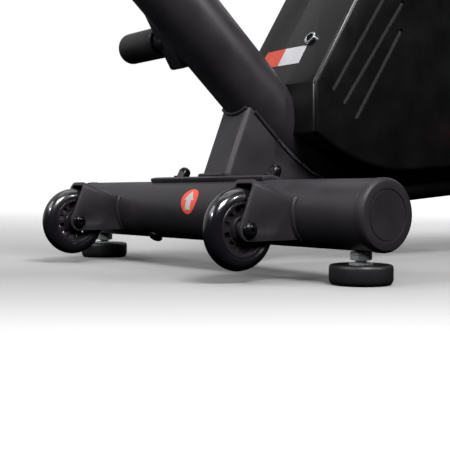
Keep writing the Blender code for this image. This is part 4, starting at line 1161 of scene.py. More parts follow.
class BIKE_OT_mast_knob(BikeOperator, bpy.types.Operator):
    """Model the clamp knob on the right of the mast sleeve"""

    bl_idname = "bike.mast_knob"
    bl_label = "Mast knob"

    def execute(self, context):
        low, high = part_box("mast_knob")
        far, near, body = high.y - low.y, 0.018, (high.z - low.z) / 2.0
        base = spot(*KNOB_PLACE)
        across, deep = 0.0095, 0.0085
        rounded = [(body - across + across * math.cos(math.radians(a)), far - deep + deep * math.sin(math.radians(a)))
                   for a in range(0, 91, 9)]
        profile = [
            (0.0070, 0.0), (0.0070, 0.0085), (0.0098, 0.0085), (0.0104, 0.0095), (0.0104, 0.0150), (0.0112, 0.0160),
            (0.0128, 0.0160), (0.0134, near + 0.0020), (0.0148, near + 0.0024), (0.0150, near + 0.0002),
            (0.0166, near),
            (body - 0.0006, near + 0.0006), (body, near + 0.0016), (body, near + 0.0080),
            (body - 0.0005, near + 0.0084),
            (body - 0.0005, near + 0.0092), (body, near + 0.0096),
        ] + rounded + [(0.0040, far)]
        settle(lathe("MastKnob", profile, base, -ACROSS, 96), "mast_knob")
        return {"FINISHED"}


def hull_tangent():
    """Angle in degrees of the housing's top line's normal."""
    run = Vector((CRANK[0] - FLYWHEEL[0], CRANK[1] - FLYWHEEL[1]))
    along = math.degrees(math.atan2(run.y, run.x))
    return along - math.degrees(math.acos((SHELL_FRONT_ROUND - SHELL_REAR_ROUND) / run.length))


def shell_outline(inset=0.0):
    """Side outline of the housing, drawn in by inset."""
    tangent = hull_tangent()
    front = arc(FLYWHEEL, SHELL_FRONT_ROUND - inset, SHELL_LEAN, tangent, 30)
    rear = arc(CRANK, SHELL_REAR_ROUND - inset, tangent, 196.0, 44)
    lowest = SHELL_EDGE_ROUND - inset
    chin_x = SHELL_FRONT[0] - inset
    start = -math.degrees(math.acos((chin_x - SHELL_EDGE_CENTRE[0]) / lowest))
    edge = arc(SHELL_EDGE_CENTRE, lowest, -90.0, start, 28)
    tail = (SHELL_TAIL[0] + 1.2 * inset, SHELL_TAIL[1] + inset)
    return front + rear + [tail] + edge + [(chin_x, SHELL_FRONT[1] - 0.29 * inset)]


def round_side(item, y, width, segments):
    """Round the edges round one flat side of a piece."""
    pick(item)
    bpy.ops.object.mode_set(mode="EDIT")
    bpy.ops.mesh.select_mode(type="EDGE")
    bpy.ops.mesh.select_all(action="DESELECT")
    bpy.ops.object.mode_set(mode="OBJECT")
    verts = item.data.vertices
    for edge in item.data.edges:
        edge.select = all(abs(verts[i].co.y - y) < 0.00001 for i in edge.vertices)
    bpy.ops.object.mode_set(mode="EDIT")
    bpy.ops.mesh.bevel(offset=width, segments=segments, affect="EDGES", clamp_overlap=True)
    bpy.ops.object.mode_set(mode="OBJECT")
    return item


def groove_tool(name, start, end, sign, margin=0.0):
    """A round-ended cutter for one groove in a housing side."""
    width = sizes().groove_width / 2.0 - margin
    along = math.degrees(math.atan2(end[1] - start[1], end[0] - start[0]))
    outline = (arc(start, width, along + 90.0, along + 270.0, 13) + arc(end, width, along - 90.0, along + 90.0, 13))
    low, high = sorted((sign * (SHELL_HALF - sizes().groove_depth), sign * (SHELL_HALF + 0.01)))
    tool = prism(name, outline, low, high)
    return round_side(tool, sign * (SHELL_HALF - sizes().groove_depth), 0.0014, 3)


class BIKE_OT_housing(BikeOperator, bpy.types.Operator):
    """Model both halves of the drive housing with their grooves"""

    bl_idname = "bike.housing"
    bl_label = "Housing"

    def execute(self, context):
        for sign, side in SIDES:
            node = f"{side}_housing"
            low, high = sorted((SHELL_SEAM_Y + sign * GAP / 2.0, sign * SHELL_HALF))
            shell = prism(f"{side.title()}Housing", shell_outline(), low, high)
            round_side(shell, sign * SHELL_HALF, 0.0052, 5)
            round_side(shell, SHELL_SEAM_Y + sign * GAP / 2.0, 0.0005, 2)
            inner = sorted((SHELL_SEAM_Y - sign * 0.010, sign * (SHELL_HALF - SHELL_WALL)))
            cut(shell, prism("inside", shell_outline(SHELL_WALL), *inner))
            cut(shell, sweep("tube_space", main_path(count=36), TUBE_RADIUS + GAP, 96))
            for i, (start, end) in enumerate(GROOVES):
                cut(shell, groove_tool(f"groove_{i}", start, end, sign))
            # Painted light: lighter strips on the floors of the grooves.
            self.painted_groove_light(side, sign, node)
            crank = spot(CRANK[0], 0.0, CRANK[1])
            cut(shell, bar("axle_hole", crank + ACROSS * (sign * 0.05), crank + ACROSS * (sign * 0.09), 0.0125, 48))
            if sign > 0:
                place = self.jack_place()
                cut(shell, bar("jack_hole", place - front_normal() * 0.02, place + front_normal() * 0.02, 0.0068, 48))
            settle(shell, node)
            ring = [(0.0126, 0.0002), (0.0300, 0.0002), (0.0315, 0.0012), (0.0315, 0.0020), (0.0300, 0.0030),
                    (0.0150, 0.0034), (0.0126, 0.0026)]
            disc = lathe(f"{side.title()}AxleRing", ring, crank + ACROSS * (sign * SHELL_HALF), ACROSS * sign, 80,
                         True)
            settle(disc, node, "black_plastic", stands_for=False)
            self.screws(side, sign, node)
        return {"FINISHED"}

    def painted_groove_light(self, side, sign, node):
        """Lighter satin strips on the groove floors, painting the light that the grooves catch."""
        made = []
        for i, (start, end) in enumerate(GROOVES):
            strip = groove_tool(f"inlay_{i}", start, end, sign, 0.0002)
            for vert in strip.data.vertices:
                if abs(vert.co.y) > SHELL_HALF:
                    vert.co.y = sign * (SHELL_HALF - 0.0022)
                else:
                    vert.co.y -= sign * 0.0002
            made.append(close_up(strip))
        # The strips' powder coat is lighter than the housing, as painted light in the grooves.
        settle(merged(f"{side.title()}HousingGrooveLightStrips", made), node, "black_powder_coat", stands_for=False)

    def screws(self, side, sign, node):
        """Recessed cross-head screws round a housing side."""
        if sign < 0:
            return
        places = ((-0.325, 0.436), (-0.470, 0.446), (-0.590, 0.300), (-0.540, 0.170))
        made = []
        for i, (x, z) in enumerate(places):
            base = spot(x, sign * (SHELL_HALF - 0.0002), z)
            head = lathe(f"screw_{i}", [(0.0012, 0.0016), (0.0030, 0.0014), (0.0040, 0.0008), (0.0043, 0.0)], base,
                         ACROSS * sign, 32)
            for turn in (20.0, 110.0):
                direction = heading(turn)
                cut(head, slab("slot", base + ACROSS * (sign * 0.0014), (0.0009, 0.0016, 0.0044), direction, 0.0001,
                               1))
            made.append(head)
        settle(merged(f"{side.title()}HousingScrews", made), node, "black_steel", stands_for=False)

    @staticmethod
    def jack_place():
        """Middle of the power jack, on the housing's front face."""
        slope = (0.2765 - SHELL_FRONT[1]) / math.cos(math.radians(SHELL_LEAN))
        return front_point(0.028, slope)


def face_plate(name, corners, thick, lift, look):
    """A thin plate of (y, slope) corners on the housing's front face."""
    pick_nothing()
    bpy.ops.mesh.primitive_circle_add(vertices=len(corners), fill_type="NGON")
    item = named(name)
    for vert, (y, slope) in zip(item.data.vertices, corners):
        vert.co = front_point(y, slope) + front_normal() * lift
    bpy.ops.object.mode_set(mode="EDIT")
    bpy.ops.mesh.select_all(action="SELECT")
    bpy.ops.mesh.extrude_region_move(TRANSFORM_OT_translate={"value": front_normal() * thick})
    return settle(close_up(item), "left_housing", look, stands_for=False)


class BIKE_OT_front_face(BikeOperator, bpy.types.Operator):
    """Model the power jack and the blank label on the housing's front face"""

    bl_idname = "bike.front_face"
    bl_label = "Jack and label"

    def execute(self, context):
        place = BIKE_OT_housing.jack_place()
        shape = [
            (0.0052, -0.0080), (0.0052, 0.0036), (0.0058, 0.0042), (0.0076, 0.0042), (0.0084, 0.0034),
            (0.0085, 0.0026),
            (0.0085, 0.0004), (0.0065, 0.0004), (0.0065, -0.0100), (0.0052, -0.0100),
        ]
        barrel = lathe("PowerJack", shape, place, front_normal(), 64, ring=True)
        settle(barrel, "power_jack")
        seat = lathe("PowerJackSeat", [(0.0012, 0.0022), (0.0013, -0.0040), (0.0050, -0.0042), (0.0050, -0.0095)],
                     place,
                     front_normal(), 32)
        settle(seat, "power_jack", "hub_plastic", stands_for=False)
        red = [(-0.0480, 0.0580), (-0.0490, 0.0497), (-0.0270, 0.0318), (-0.0130, 0.0318), (-0.0130, 0.0591)]
        white = [(-0.0128, 0.0318), (0.0260, 0.0318), (0.0260, 0.0591), (-0.0128, 0.0591)]
        face_plate("LabelRed", red, 0.00025, 0.0001, "red_mark")
        face_plate("LabelWhite", white, 0.00025, 0.0001, "white_mark")
        return {"FINISHED"}


def bar_side(sign):
    """One half of the handlebar's line, from the middle out to its end."""
    corners = [bar_axis() + Vector((x, sign * y, z)) for x, y, z in BAR_CORNERS]
    return rounded_path(corners, BAR_BENDS, 14)


class BIKE_OT_handlebar(BikeOperator, bpy.types.Operator):
    """Model the handlebar, its clamp and the foam grips"""

    bl_idname = "bike.handlebar"
    bl_label = "Handlebar"

    def execute(self, context):
        both = list(reversed(bar_side(-1))) + bar_side(1)
        tube = sweep("Handlebar", both, BAR_RADIUS, 40)
        soften(tube, 0.0010, 2, 60.0)
        settle(tube, "handlebar")
        for sign, side in SIDES:
            self.grip(side, bar_side(sign))
        self.clamp()
        return {"FINISHED"}

    def grip(self, side, line):
        """A foam grip with ring grooves and a plastic end plug."""
        end = (line[-1] - line[-2]).normalized()
        low = line[-1] - end * 0.130
        inner, outer = BAR_RADIUS + GAP, 0.0175
        rings = [(inner, 0.0), (outer - 0.0018, 0.0), (outer - 0.0004, 0.0012), (outer, 0.0032)]
        for i in range(7):
            level = 0.020 + 0.014 * i
            rings += [(outer, level - 0.0016), (outer - 0.0009, level - 0.0006), (outer - 0.0009, level + 0.0006),
                      (outer, level + 0.0016)]
        rings += [(outer, 0.1315), (outer - 0.0004, 0.1328), (inner, 0.1334)]
        foam = lathe(f"{side.title()}Grip", rings, low, end, 48, ring=True)
        settle(foam, f"{side}_grip")
        plug = [(0.0030, 0.1360), (0.0120, 0.1358), (0.0160, 0.1350), (0.0170, 0.1340), (0.0170, 0.1335),
                (0.0130, 0.1304)]
        cap = lathe(f"{side.title()}GripPlug", plug, low, end, 48)
        settle(cap, f"{side}_grip", "black_plastic", stands_for=False)

    def clamp(self):
        """The moulded clamp round the bar, its bolts and the console's neck."""
        node = "handlebar_clamp"
        centre = bar_axis()
        half = 0.032
        up = heading(MAST_TOP_LEAN)
        profile = [(CLAMP_RADIUS - 0.002, -half), (CLAMP_RADIUS, -half + 0.002), (CLAMP_RADIUS, -0.0012),
                   (CLAMP_RADIUS - 0.0010, -0.0006), (CLAMP_RADIUS - 0.0010, 0.0006), (CLAMP_RADIUS, 0.0012),
                   (CLAMP_RADIUS, half - 0.002), (CLAMP_RADIUS - 0.002, half)]
        body = lathe("HandlebarClamp", profile, centre, ACROSS, 72)
        foot = lathe("stub", [(MAST_RADIUS - 0.004, 0.0), (MAST_RADIUS - 0.004, 0.034)], mast_path()[-1] + up * GAP,
                     up, 72)
        cut(body, foot, "UNION")
        top = centre + Vector((0.055, 0.0, 0.062))
        neck = slab("neck", (centre + top) / 2.0, (0.030, 0.040, (top - centre).length), top - centre, 0.005, 4)
        cut(body, neck, "UNION")
        cut(body, bar("bore", centre - ACROSS * 0.1, centre + ACROSS * 0.1, BAR_RADIUS + GAP, 64))
        settle(body, node)
        bolts = []
        for sign in (1, -1):
            base = centre + ACROSS * (sign * 0.019) - heading(76.0) * 0.0235
            bolt = lathe("bolt", [(0.0012, 0.0052), (0.0036, 0.0050), (0.0044, 0.0042), (0.0046, 0.0)], base,
                         -heading(76.0), 32)
            cut(bolt, bar("socket", base - heading(76.0) * 0.0024, base - heading(76.0) * 0.008, 0.0024, 6))
            bolts.append(bolt)
        settle(merged("HandlebarClampBolts", bolts), node, "black_steel", stands_for=False)


class BIKE_OT_console(BikeOperator, bpy.types.Operator):
    """Model the console with its display, keys and dial"""

    bl_idname = "bike.console"
    bl_label = "Console"

    def execute(self, context):
        node = "console"
        self.face = heading(-CONSOLE_LEAN)
        self.down = self.face.cross(ACROSS)
        self.centre = bar_axis() + Vector((0.055, 0.0, 0.062)) + heading(MAST_TOP_LEAN) * 0.020
        self.centre += Vector((-0.010, 0.0, 0.047))
        shell = slab("Console", self.centre, (0.130, 0.190, 0.028), self.face, 0.008, 5)
        cut(shell, self.plate("screen_space", -0.020, 0.0, (0.058, 0.128, 0.010), 0.0135, 0.003))
        settle(shell, node)
        settle(self.plate("ConsoleDisplay", -0.020, 0.0, (0.0574, 0.1274, 0.004), 0.0112, 0.0024), node,
               "display_ground", stands_for=False)
        bars = []
        for i in range(12):
            tall = 0.006 + 0.0026 * (3.0 + 2.4 * math.sin(i * 0.9))
            bars.append(self.plate(f"bar_{i}", -0.004 - tall / 2.0, -0.050 + 0.0082 * i, (tall, 0.0056, 0.0004),
                                   0.0133, 0.0))
        for i in range(3):
            bars.append(self.plate(f"line_{i}", -0.0400, -0.038 + 0.038 * i, (0.0030, 0.026, 0.0004), 0.0133, 0.0))
        settle(merged("ConsoleGraph", bars), node, "black_plastic", stands_for=False)
        keys = []
        for i, y in enumerate((-0.060, -0.034, 0.034, 0.060)):
            keys.append(self.plate(f"key_{i}", 0.040, y, (0.012, 0.019, 0.0040), 0.0150, 0.0018))
        settle(merged("ConsoleKeys", keys), node, "black_rubber", stands_for=False)
        base = self.centre + self.face * 0.0143 + self.down * 0.043
        profile = [(0.0130, 0.0), (0.0130, 0.0012), (0.0124, 0.0060), (0.0118, 0.0080), (0.0106, 0.0090),
                   (0.0092, 0.0086),
                   (0.0060, 0.0082)]
        dial = fluted("ConsoleDial", profile, base, self.face, 18, 0.0010, (0.0020, 0.0110))
        settle(dial, "console_dial")
        mark = self.plate("ConsoleDialMark", 0.0352, 0.0, (0.0050, 0.0012, 0.0006), 0.0228, 0.0)
        settle(mark, "console_dial", "white_mark", stands_for=False)
        stand = self.plate("ConsoleLedge", 0.0600, 0.0, (0.0050, 0.150, 0.010), 0.0180, 0.002)
        settle(stand, node, "black_plastic", stands_for=False)
        return {"FINISHED"}

    def plate(self, name, down, y, size, height, edge):
        """A small block on the console's face; down and y are from its middle."""
        place = self.centre + self.down * down + ACROSS * y + self.face * height
        return slab(name, place, size, self.face, edge, 3)


class BIKE_OT_seat(BikeOperator, bpy.types.Operator):
    """Model the seat post, the slider, its knob and the padded saddle"""

    bl_idname = "bike.seat"
    bl_label = "Seat"

    def execute(self, context):
        up = heading(SEAT_LEAN)
        length = POST_END - POST_START
        edge = 0.0010
        profile = [(POST_RADIUS - 0.002, 0.0), (POST_RADIUS, edge), (POST_RADIUS, length - edge),
                   (POST_RADIUS - edge, length)]
        post = lathe("SeatPost", profile, seat_point(POST_START), up, 72)
        hole = bar("hole", ACROSS * (POST_RADIUS - 0.0026), ACROSS * (POST_RADIUS + 0.01), 0.0052, 24)
        moves = [Matrix.Translation(seat_point(0.240 + 0.025 * i)) for i in range(14)]
        holes = copied(hole, "hole", moves)
        bpy.data.objects.remove(hole, do_unlink=True)
        cut(post, merged("holes", holes))
        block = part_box("seat_post")[1].z
        self.head = seat_point(POST_END) + Vector((0.0, 0.0, 0.019))
        cut(post, slab("head", self.head, (0.060, 0.036, 0.022), UP, 0.0015, 2), "UNION")
        cut(post, bar("neck", seat_point(POST_END) - up * 0.010, self.head, 0.014, 48), "UNION")
        settle(post, "seat_post")
        if block < self.head.z:
            raise RuntimeError("the seat post's head isn't where the frame has it")
        self.slider()
        self.saddle()
        return {"FINISHED"}

    def slider(self):
        """The channel that the saddle slides on, and its clamp knob."""
        wall = 0.004
        side = 0.018 + GAP + wall
        body = slab("SeatSlider", self.head + Vector((0.010, 0.0, wall / 2.0 + GAP)),
                    (0.200, 2.0 * side, 0.022 + wall),
                    UP, 0.0022, 3)
        cut(body, slab("channel", self.head - Vector((0.0, 0.0, 0.010 - GAP)), (0.300, 2.0 * (side - wall), 0.042)))
        slot = slab("slot", self.head + Vector((0.010, side, 0.0)), (0.110, 0.012, 0.0080), UP, 0.0030, 3)
        cut(body, slot)
        settle(body, "seat_slider")
        profile = [(0.0070, 0.0), (0.0070, 0.0060), (0.0110, 0.0066), (0.0136, 0.0084), (0.0140, 0.0100),
                   (0.0140, 0.0240),
                   (0.0132, 0.0276), (0.0108, 0.0296), (0.0050, 0.0300)]
        base = self.head + Vector((0.010, side + GAP, 0.0))
        settle(fluted("SeatSliderKnob", profile, base, ACROSS, 8, 0.0026, (0.0080, 0.0340)), "seat_slider_knob")

    def outline(self, inset):
        """Top outline of the saddle: a wide rear that narrows to its nose."""
        low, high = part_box("saddle")
        half, rear, nose = (high.x - low.x) / 2.0 - inset, (high.y - low.y) / 2.0 - inset, 0.030 - inset / 2.0
        points = []
        for i in range(33):
            along = i / 32
            x = -half + 2.0 * half * along
            wide = rear * math.sqrt(max(0.0, 1.0 - ((0.30 - along) / 0.30) ** 2)) if along < 0.30 else None
            if wide is None:
                part = (along - 0.30) / 0.52
                blend = 0.5 + 0.5 * math.cos(math.pi * min(1.0, part))
                wide = nose + (rear - nose) * blend
                tip = (along - 0.90) / 0.10
                if tip > 0.0:
                    wide *= math.sqrt(max(0.0, 1.0 - tip ** 2))
            points.append((x, wide))
        return points

    def pad_blank(self, name, inset, low, high):
        """The saddle's outline as a solid between two heights."""
        half = self.outline(inset)
        ring = [(x, y) for x, y in half] + [(x, -y) for x, y in reversed(half[1:-1])]
        pick_nothing()
        bpy.ops.mesh.primitive_circle_add(vertices=len(ring), fill_type="NGON")
        item = named(name)
        base = middle("saddle")
        for vert, (x, y) in zip(item.data.vertices, ring):
            vert.co = (base.x + x, y, low)
        bpy.ops.object.mode_set(mode="EDIT")
        bpy.ops.mesh.select_all(action="SELECT")
        bpy.ops.mesh.extrude_region_move(TRANSFORM_OT_translate={"value": (0.0, 0.0, high - low)})
        return close_up(item)

    def saddle(self):
        """The padded cover, swollen by a short cloth run, on its moulded pan."""
        low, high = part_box("saddle")
        base = middle("saddle")
        pan = self.pad_blank("SaddlePan", 0.012, low.z, low.z + 0.016)
        soften(pan, 0.004, 3, 50.0)
        settle(pan, "saddle", "black_plastic", stands_for=False)
        pad = self.pad_blank("Saddle", 0.006, low.z + 0.007, high.z - 0.008)
        soften(pad, 0.012, 4, 50.0)
        change(pad, "REMESH", mode="VOXEL", voxel_size=0.0048, adaptivity=0.0)
        for vert in pad.data.vertices:
            rise = (vert.co.z - low.z) / (high.z - low.z)
            along = (vert.co.x - base.x) / (high.x - low.x)
            out = abs(vert.co.y) / ((high.y - low.y) / 2.0)
            vert.co.z -= 0.013 * rise * out ** 2 + 0.010 * rise * max(0.0, along) ** 2 * 4.0
            vert.co.z -= 0.0045 * rise * math.exp(-(vert.co.y / 0.011) ** 2) * (0.5 - along)
        self.swell(pad)
        change(pad, "SUBSURF", levels=1, render_levels=1)
        settle(pad, "saddle")
        self.piping(low, base)

    def swell(self, pad):
        """Blow the cover up a little as cloth, and cap how far it may go."""
        pick(pad)
        rest = [vert.co.copy() for vert in pad.data.vertices]
        bpy.ops.object.modifier_add(type="CLOTH")
        cloth = pad.modifiers[-1]
        cloth.settings.use_pressure = True
        cloth.settings.uniform_pressure_force = 4.0
        cloth.settings.effector_weights.gravity = 0.0
        steps = 20
        cloth.point_cache.frame_start, cloth.point_cache.frame_end = 1, steps
        scene = bpy.context.scene
        for step in range(1, steps + 1):
            scene.frame_set(step)
        bpy.ops.object.modifier_apply(modifier=cloth.name)
        scene.frame_set(1)
        cap = sizes().saddle_swell
        for vert, was in zip(pad.data.vertices, rest):
            move = vert.co - was
            if move.length > cap:
                vert.co = was + move.normalized() * cap

    def piping(self, low, base):
        """The stitched piping round the cover's lower edge."""
        half = self.outline(0.0045)
        ring = [(x, y) for x, y in half] + [(x, -y) for x, y in reversed(half[1:-1])]
        line = [Vector((base.x + x, y, low.z + 0.0150)) for x, y in ring]
        cord = sweep("SaddlePiping", line, 0.0019, 12, closed=True)
        settle(cord, "saddle", stands_for=False)


class BIKE_OT_cranks(BikeOperator, bpy.types.Operator):
    """Model both cranks and pedals"""

    bl_idname = "bike.cranks"
    bl_label = "Cranks and pedals"

    def execute(self, context):
        for (sign, side), turn in zip(SIDES, (-90.0, 90.0)):
            self.crank(side, sign, turn)
            self.pedal(side, sign, turn)
        return {"FINISHED"}

    def crank(self, side, sign, turn):
        """A forged crank arm with a long hollow in its face, and its end bolt."""
        node = f"{side}_crank"
        angle = math.radians(turn)
        far = (CRANK[0] + CRANK_LENGTH * math.cos(angle), CRANK[1] + CRANK_LENGTH * math.sin(angle))
        low, high = sorted((sign * CRANK_INNER, sign * (CRANK_INNER + CRANK_THICKNESS)))
        boss, eye, hollow_from, hollow_to = 0.0175, 0.0130, 0.034, 0.142
        outline = arc(CRANK, boss, turn + 95.0, turn + 265.0, 28) + arc(far, eye, turn - 88.0, turn + 88.0, 24)
        arm = prism(f"{side.title()}Crank", outline, low, high)
        soften(arm, 0.0024, 4)
        start = (CRANK[0] + hollow_from * math.cos(angle), CRANK[1] + hollow_from * math.sin(angle))
        end = (CRANK[0] + hollow_to * math.cos(angle), CRANK[1] + hollow_to * math.sin(angle))
        hollow = arc(start, 0.0072, turn + 90.0, turn + 270.0, 14) + arc(end, 0.0052, turn - 90.0, turn + 90.0, 14)
        span = sorted((sign * (CRANK_INNER + CRANK_THICKNESS - 0.0018), sign * (CRANK_INNER + 0.03)))
        cut(arm, prism("hollow", hollow, *span))
        for (x, z), radius in ((CRANK, 0.0088), (far, 0.0075)):
            place = spot(x, 0.0, z)
            cut(arm, bar("hole", place + ACROSS * (sign * 0.06), place + ACROSS * (sign * 0.12), radius, 48))
        settle(arm, node)
        base = spot(CRANK[0], sign * (CRANK_INNER + CRANK_THICKNESS + 0.0013), CRANK[1])
        cap = [(0.0082, 0.0), (0.0110, 0.0), (0.0112, 0.0010), (0.0104, 0.0032), (0.0076, 0.0042), (0.0020, 0.0044)]
        settle(lathe(f"{side.title()}CrankCap", cap, base, ACROSS * sign, 48), "crank_axle", "black_plastic", False)

    def pedal(self, side, sign, turn):
        """A moulded pedal: a body with windows, treads, reflectors and a steel pin."""
        node = f"{side}_pedal"
        angle = math.radians(turn)
        far = spot(CRANK[0] + CRANK_LENGTH * math.cos(angle), 0.0, CRANK[1] + CRANK_LENGTH * math.sin(angle))
        inner = CRANK_INNER + CRANK_THICKNESS + 0.009
        wide = 0.092
        centre = far + ACROSS * (sign * (inner + wide / 2.0))
        body = slab(f"{side.title()}Pedal", centre, (0.094, wide, 0.022), UP, 0.0055, 4)
        windows = [slab("window", centre + Vector((x, y, 0.0)), (0.026, 0.030, 0.060), UP, 0.0030, 3)
                   for x in (-0.024, 0.024) for y in (-0.020, 0.020)]
        cut(body, merged("windows", windows))
        ridge = slab("ridge", Vector(), (0.0022, 0.078, 0.0018), UP, 0.0005, 2)
        moves = [Matrix.Translation(centre + Vector((x, 0.0, z))) for x in (-0.042, -0.0075, 0.0, 0.0075, 0.042)
                 for z in (-0.0119, 0.0119)]
        ridges = copied(ridge, "ridge", moves)
        bpy.data.objects.remove(ridge, do_unlink=True)
        barrel = lathe("barrel", [(0.0095, 0.0), (0.0105, 0.0010), (0.0105, wide - 0.012), (0.0095, wide - 0.010)],
                       far + ACROSS * (sign * (inner + 0.005)), ACROSS * sign, 40)
        settle(merged(f"{side.title()}Pedal", [body, barrel] + ridges), node)
        pin = lathe(f"{side.title()}PedalPin", [(0.0062, -0.0200), (0.0070, -0.0192), (0.0070, -0.0080),
                                                (0.0092, -0.0078),
                                                (0.0092, -0.0034), (0.0070, -0.0030), (0.0070, 0.0100)],
                    far + ACROSS * (sign * inner), ACROSS * sign, 40)
        settle(pin, node, "zinc_steel", stands_for=False)
        lamps = [slab("lamp", centre + Vector((x, 0.0, 0.0)), (0.0030, 0.046, 0.012), UP, 0.0012, 2)
                 for x in (-0.0464, 0.0464)]
        settle(merged(f"{side.title()}PedalReflectors", lamps), node, "reflector", stands_for=False)


CAMERA = (0.6468, 0.8801, 0.0887)
LOOK = Vector((-0.60496, -0.79548, -0.03502))
VIEW_FLAT = Vector((LOOK.x, LOOK.y, 0.0)).normalized()
FLOOR_SPAN = (-1.2, 1.8)
# Painted shadow: the floor's tone along the view, darkest in a band under and behind the bike.
FLOOR_PAINTED_SHADOW = ((0.0, 1.0), (0.08, 0.95), (0.15, 0.72), (0.21, 0.56), (0.29, 0.43), (0.38, 0.58), (0.70, 0.68),
                (1.0, 0.80))
# Painted glow: the floor glows more with distance, so that it turns white far away.
FLOOR_PAINTED_GLOW = (0.2, 4.0)


def fade(ramp, stops):
    """Set a colour ramp's stops from (place, colour) pairs."""
    while len(ramp.elements) < len(stops):
        ramp.elements.new(1.0)
    for element, (place, shade) in zip(ramp.elements, stops):
        element.position = place
        element.color = (*shade, 1.0)


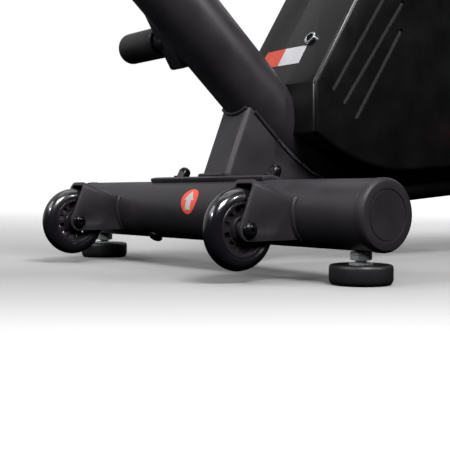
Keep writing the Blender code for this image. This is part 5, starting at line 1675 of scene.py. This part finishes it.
class BIKE_OT_studio(BikeOperator, bpy.types.Operator):
    """Set up the floor, the soft lights and the camera"""

    bl_idname = "bike.studio"
    bl_label = "Studio"

    def execute(self, context):
        self.floor()
        self.sky(context)
        self.lights()
        self.camera(context)
        context.scene.view_settings.view_transform = "Standard"
        return {"FINISHED"}

    def floor(self):
        """A wide pale sheet, darkened near the bike by a painted shadow and whitened far off by a painted glow."""
        pick_nothing()
        bpy.ops.mesh.primitive_grid_add(x_subdivisions=8, y_subdivisions=8, size=60.0)
        sheet = named("Floor")
        material = bpy.data.materials.new("studio_floor")
        tree = Tree(material)
        place = tree.add("ShaderNodeTexCoord").outputs["Object"]
        away = tree.add("ShaderNodeVectorMath", {0: place, 1: tuple(VIEW_FLAT)},
                        operation="DOT_PRODUCT").outputs["Value"]
        ramp = tree.add("ShaderNodeValToRGB", {"Fac": tree.span(away, *FLOOR_SPAN, 0.0, 1.0)})
        # The ramp paints the shadow band into the floor's colour.
        fade(ramp.color_ramp, [(place, Vector(colours().floor) * shade) for place, shade in FLOOR_PAINTED_SHADOW])
        tree.fill(tree.shader.inputs["Base Color"], ramp.outputs["Color"])
        # The floor's glow paints light onto the far floor.
        glow = tree.span(away, *FLOOR_PAINTED_GLOW, 0.0, 1.0)
        tree.shader.inputs["Emission Color"].default_value = (1.0, 1.0, 1.0, 1.0)
        tree.fill(tree.shader.inputs["Emission Strength"], glow)
        tree.shader.inputs["Roughness"].default_value = 0.9
        tree.shader.inputs["Specular IOR Level"].default_value = 0.0
        sheet.data.materials.append(material)
        sheet.visible_glossy = False
        sheet.visible_diffuse = False

    def sky(self, context):
        """White to look at, and a soft white wall on one side for reflections."""
        world = bpy.data.worlds.new("studio")
        context.scene.world = world
        world.use_nodes = True
        tree = world.node_tree
        nodes, links = tree.nodes, tree.links
        place = nodes.new("ShaderNodeTexCoord")
        toward = nodes.new("ShaderNodeVectorMath")
        toward.operation = "DOT_PRODUCT"
        toward.inputs[1].default_value = Vector((0.10, -0.72, 0.68)).normalized()
        links.new(place.outputs["Generated"], toward.inputs[0])
        span = nodes.new("ShaderNodeMapRange")
        span.interpolation_type = "SMOOTHSTEP"
        for key, value in (("From Min", 0.42), ("From Max", 0.92), ("To Min", 0.008), ("To Max", 0.46)):
            span.inputs[key].default_value = value
        links.new(toward.outputs["Value"], span.inputs["Value"])
        split = nodes.new("ShaderNodeSeparateXYZ")
        links.new(place.outputs["Generated"], split.inputs[0])
        under = nodes.new("ShaderNodeMapRange")
        under.interpolation_type = "SMOOTHSTEP"
        for key, value in (("From Min", -0.10), ("From Max", 0.04), ("To Min", 0.01), ("To Max", 1.0)):
            under.inputs[key].default_value = value
        links.new(split.outputs["Z"], under.inputs["Value"])
        product = nodes.new("ShaderNodeMath")
        product.operation = "MULTIPLY"
        links.new(span.outputs[0], product.inputs[0])
        links.new(under.outputs[0], product.inputs[1])
        ray = nodes.new("ShaderNodeLightPath")
        choose = nodes.new("ShaderNodeMix")
        links.new(ray.outputs["Is Camera Ray"], choose.inputs[0])
        links.new(product.outputs[0], choose.inputs[2])
        choose.inputs[3].default_value = 1.0
        links.new(choose.outputs[0], nodes["Background"].inputs["Strength"])
        nodes["Background"].inputs["Color"].default_value = (1.0, 1.0, 1.0, 1.0)

    def lights(self):
        """Large soft boxes round the bike."""
        aim_at = spot(-0.15, 0.0, 0.25)
        boxes = (
            ("KeyBox", spot(2.3, -0.5, 2.3), 1.4, 1.2, 20.0),
            ("TopBox", spot(-0.4, -0.2, 3.0), 2.4, 2.4, 26.0),
            ("SideBox", spot(0.6, 2.0, 2.2), 1.2, 0.9, 84.0),
            ("LeftSpark", spot(-0.96, 2.05, 1.38), 0.22, 0.22, 14.0),
            ("FrontSpark", spot(2.14, 0.42, 1.48), 0.24, 0.24, 15.0),
            ("BackBox", spot(-3.2, -1.0, 1.8), 1.6, 1.6, 14.0),
        )
        for name, place, wide, tall, power in boxes:
            pick_nothing()
            bpy.ops.object.light_add(type="AREA", location=place)
            lamp = bpy.context.view_layer.objects.active
            lamp.name = name
            lamp.rotation_mode = "QUATERNION"
            lamp.rotation_quaternion = (aim_at - place).to_track_quat("-Z", "Y")
            lamp.data.shape = "RECTANGLE"
            lamp.data.size, lamp.data.size_y = wide, tall
            lamp.data.energy = power

    def camera(self, context):
        """A long lens, low in front of the left end of the stabiliser."""
        place = spot(*CAMERA)
        bpy.ops.object.camera_add(location=place)
        camera = bpy.context.view_layer.objects.active
        camera.name = "Camera"
        camera.rotation_mode = "QUATERNION"
        camera.rotation_quaternion = LOOK.to_track_quat("-Z", "Y")
        camera.data.lens = 74.6
        camera.data.clip_start = 0.02
        context.scene.camera = camera


OPERATORS = (
    BIKE_OT_studio, BIKE_OT_dress, BIKE_OT_stabilisers, BIKE_OT_arrow_mark, BIKE_OT_feet, BIKE_OT_wheels,
    BIKE_OT_pedestals, BIKE_OT_frame_tubes, BIKE_OT_mast_knob, BIKE_OT_housing, BIKE_OT_front_face, BIKE_OT_handlebar,
    BIKE_OT_console, BIKE_OT_seat, BIKE_OT_cranks,
)


class BIKE_PT_panel(bpy.types.Panel):
    """Sidebar panel with every piece and setting"""

    bl_idname = "BIKE_PT_panel"
    bl_label = "Exercise bike"
    bl_space_type = "VIEW_3D"
    bl_region_type = "UI"
    bl_category = "Bike"

    def draw(self, context):
        column = self.layout.column(align=True)
        for kind in OPERATORS:
            column.operator(kind.bl_idname)
        for group, settings in ((BikeSizes, context.scene.bike_sizes), (BikeColours, context.scene.bike_colours)):
            box = self.layout.box()
            for key in group.__annotations__:
                box.prop(settings, key)


CLASSES = (BikeSizes, BikeColours) + OPERATORS + (BIKE_PT_panel,)


def register():
    """Register the classes and the scene's settings."""
    for kind in CLASSES:
        bpy.utils.register_class(kind)
    bpy.types.Scene.bike_sizes = PointerProperty(type=BikeSizes)
    bpy.types.Scene.bike_colours = PointerProperty(type=BikeColours)


def unregister():
    """Remove the settings and the classes."""
    del bpy.types.Scene.bike_colours
    del bpy.types.Scene.bike_sizes
    for kind in reversed(CLASSES):
        bpy.utils.unregister_class(kind)


def main():
    """Build the whole bike."""
    register()
    for kind in OPERATORS:
        group, action = kind.bl_idname.split(".")
        getattr(getattr(bpy.ops, group), action)()
    pick_nothing()


if __name__ == "__main__":
    main()
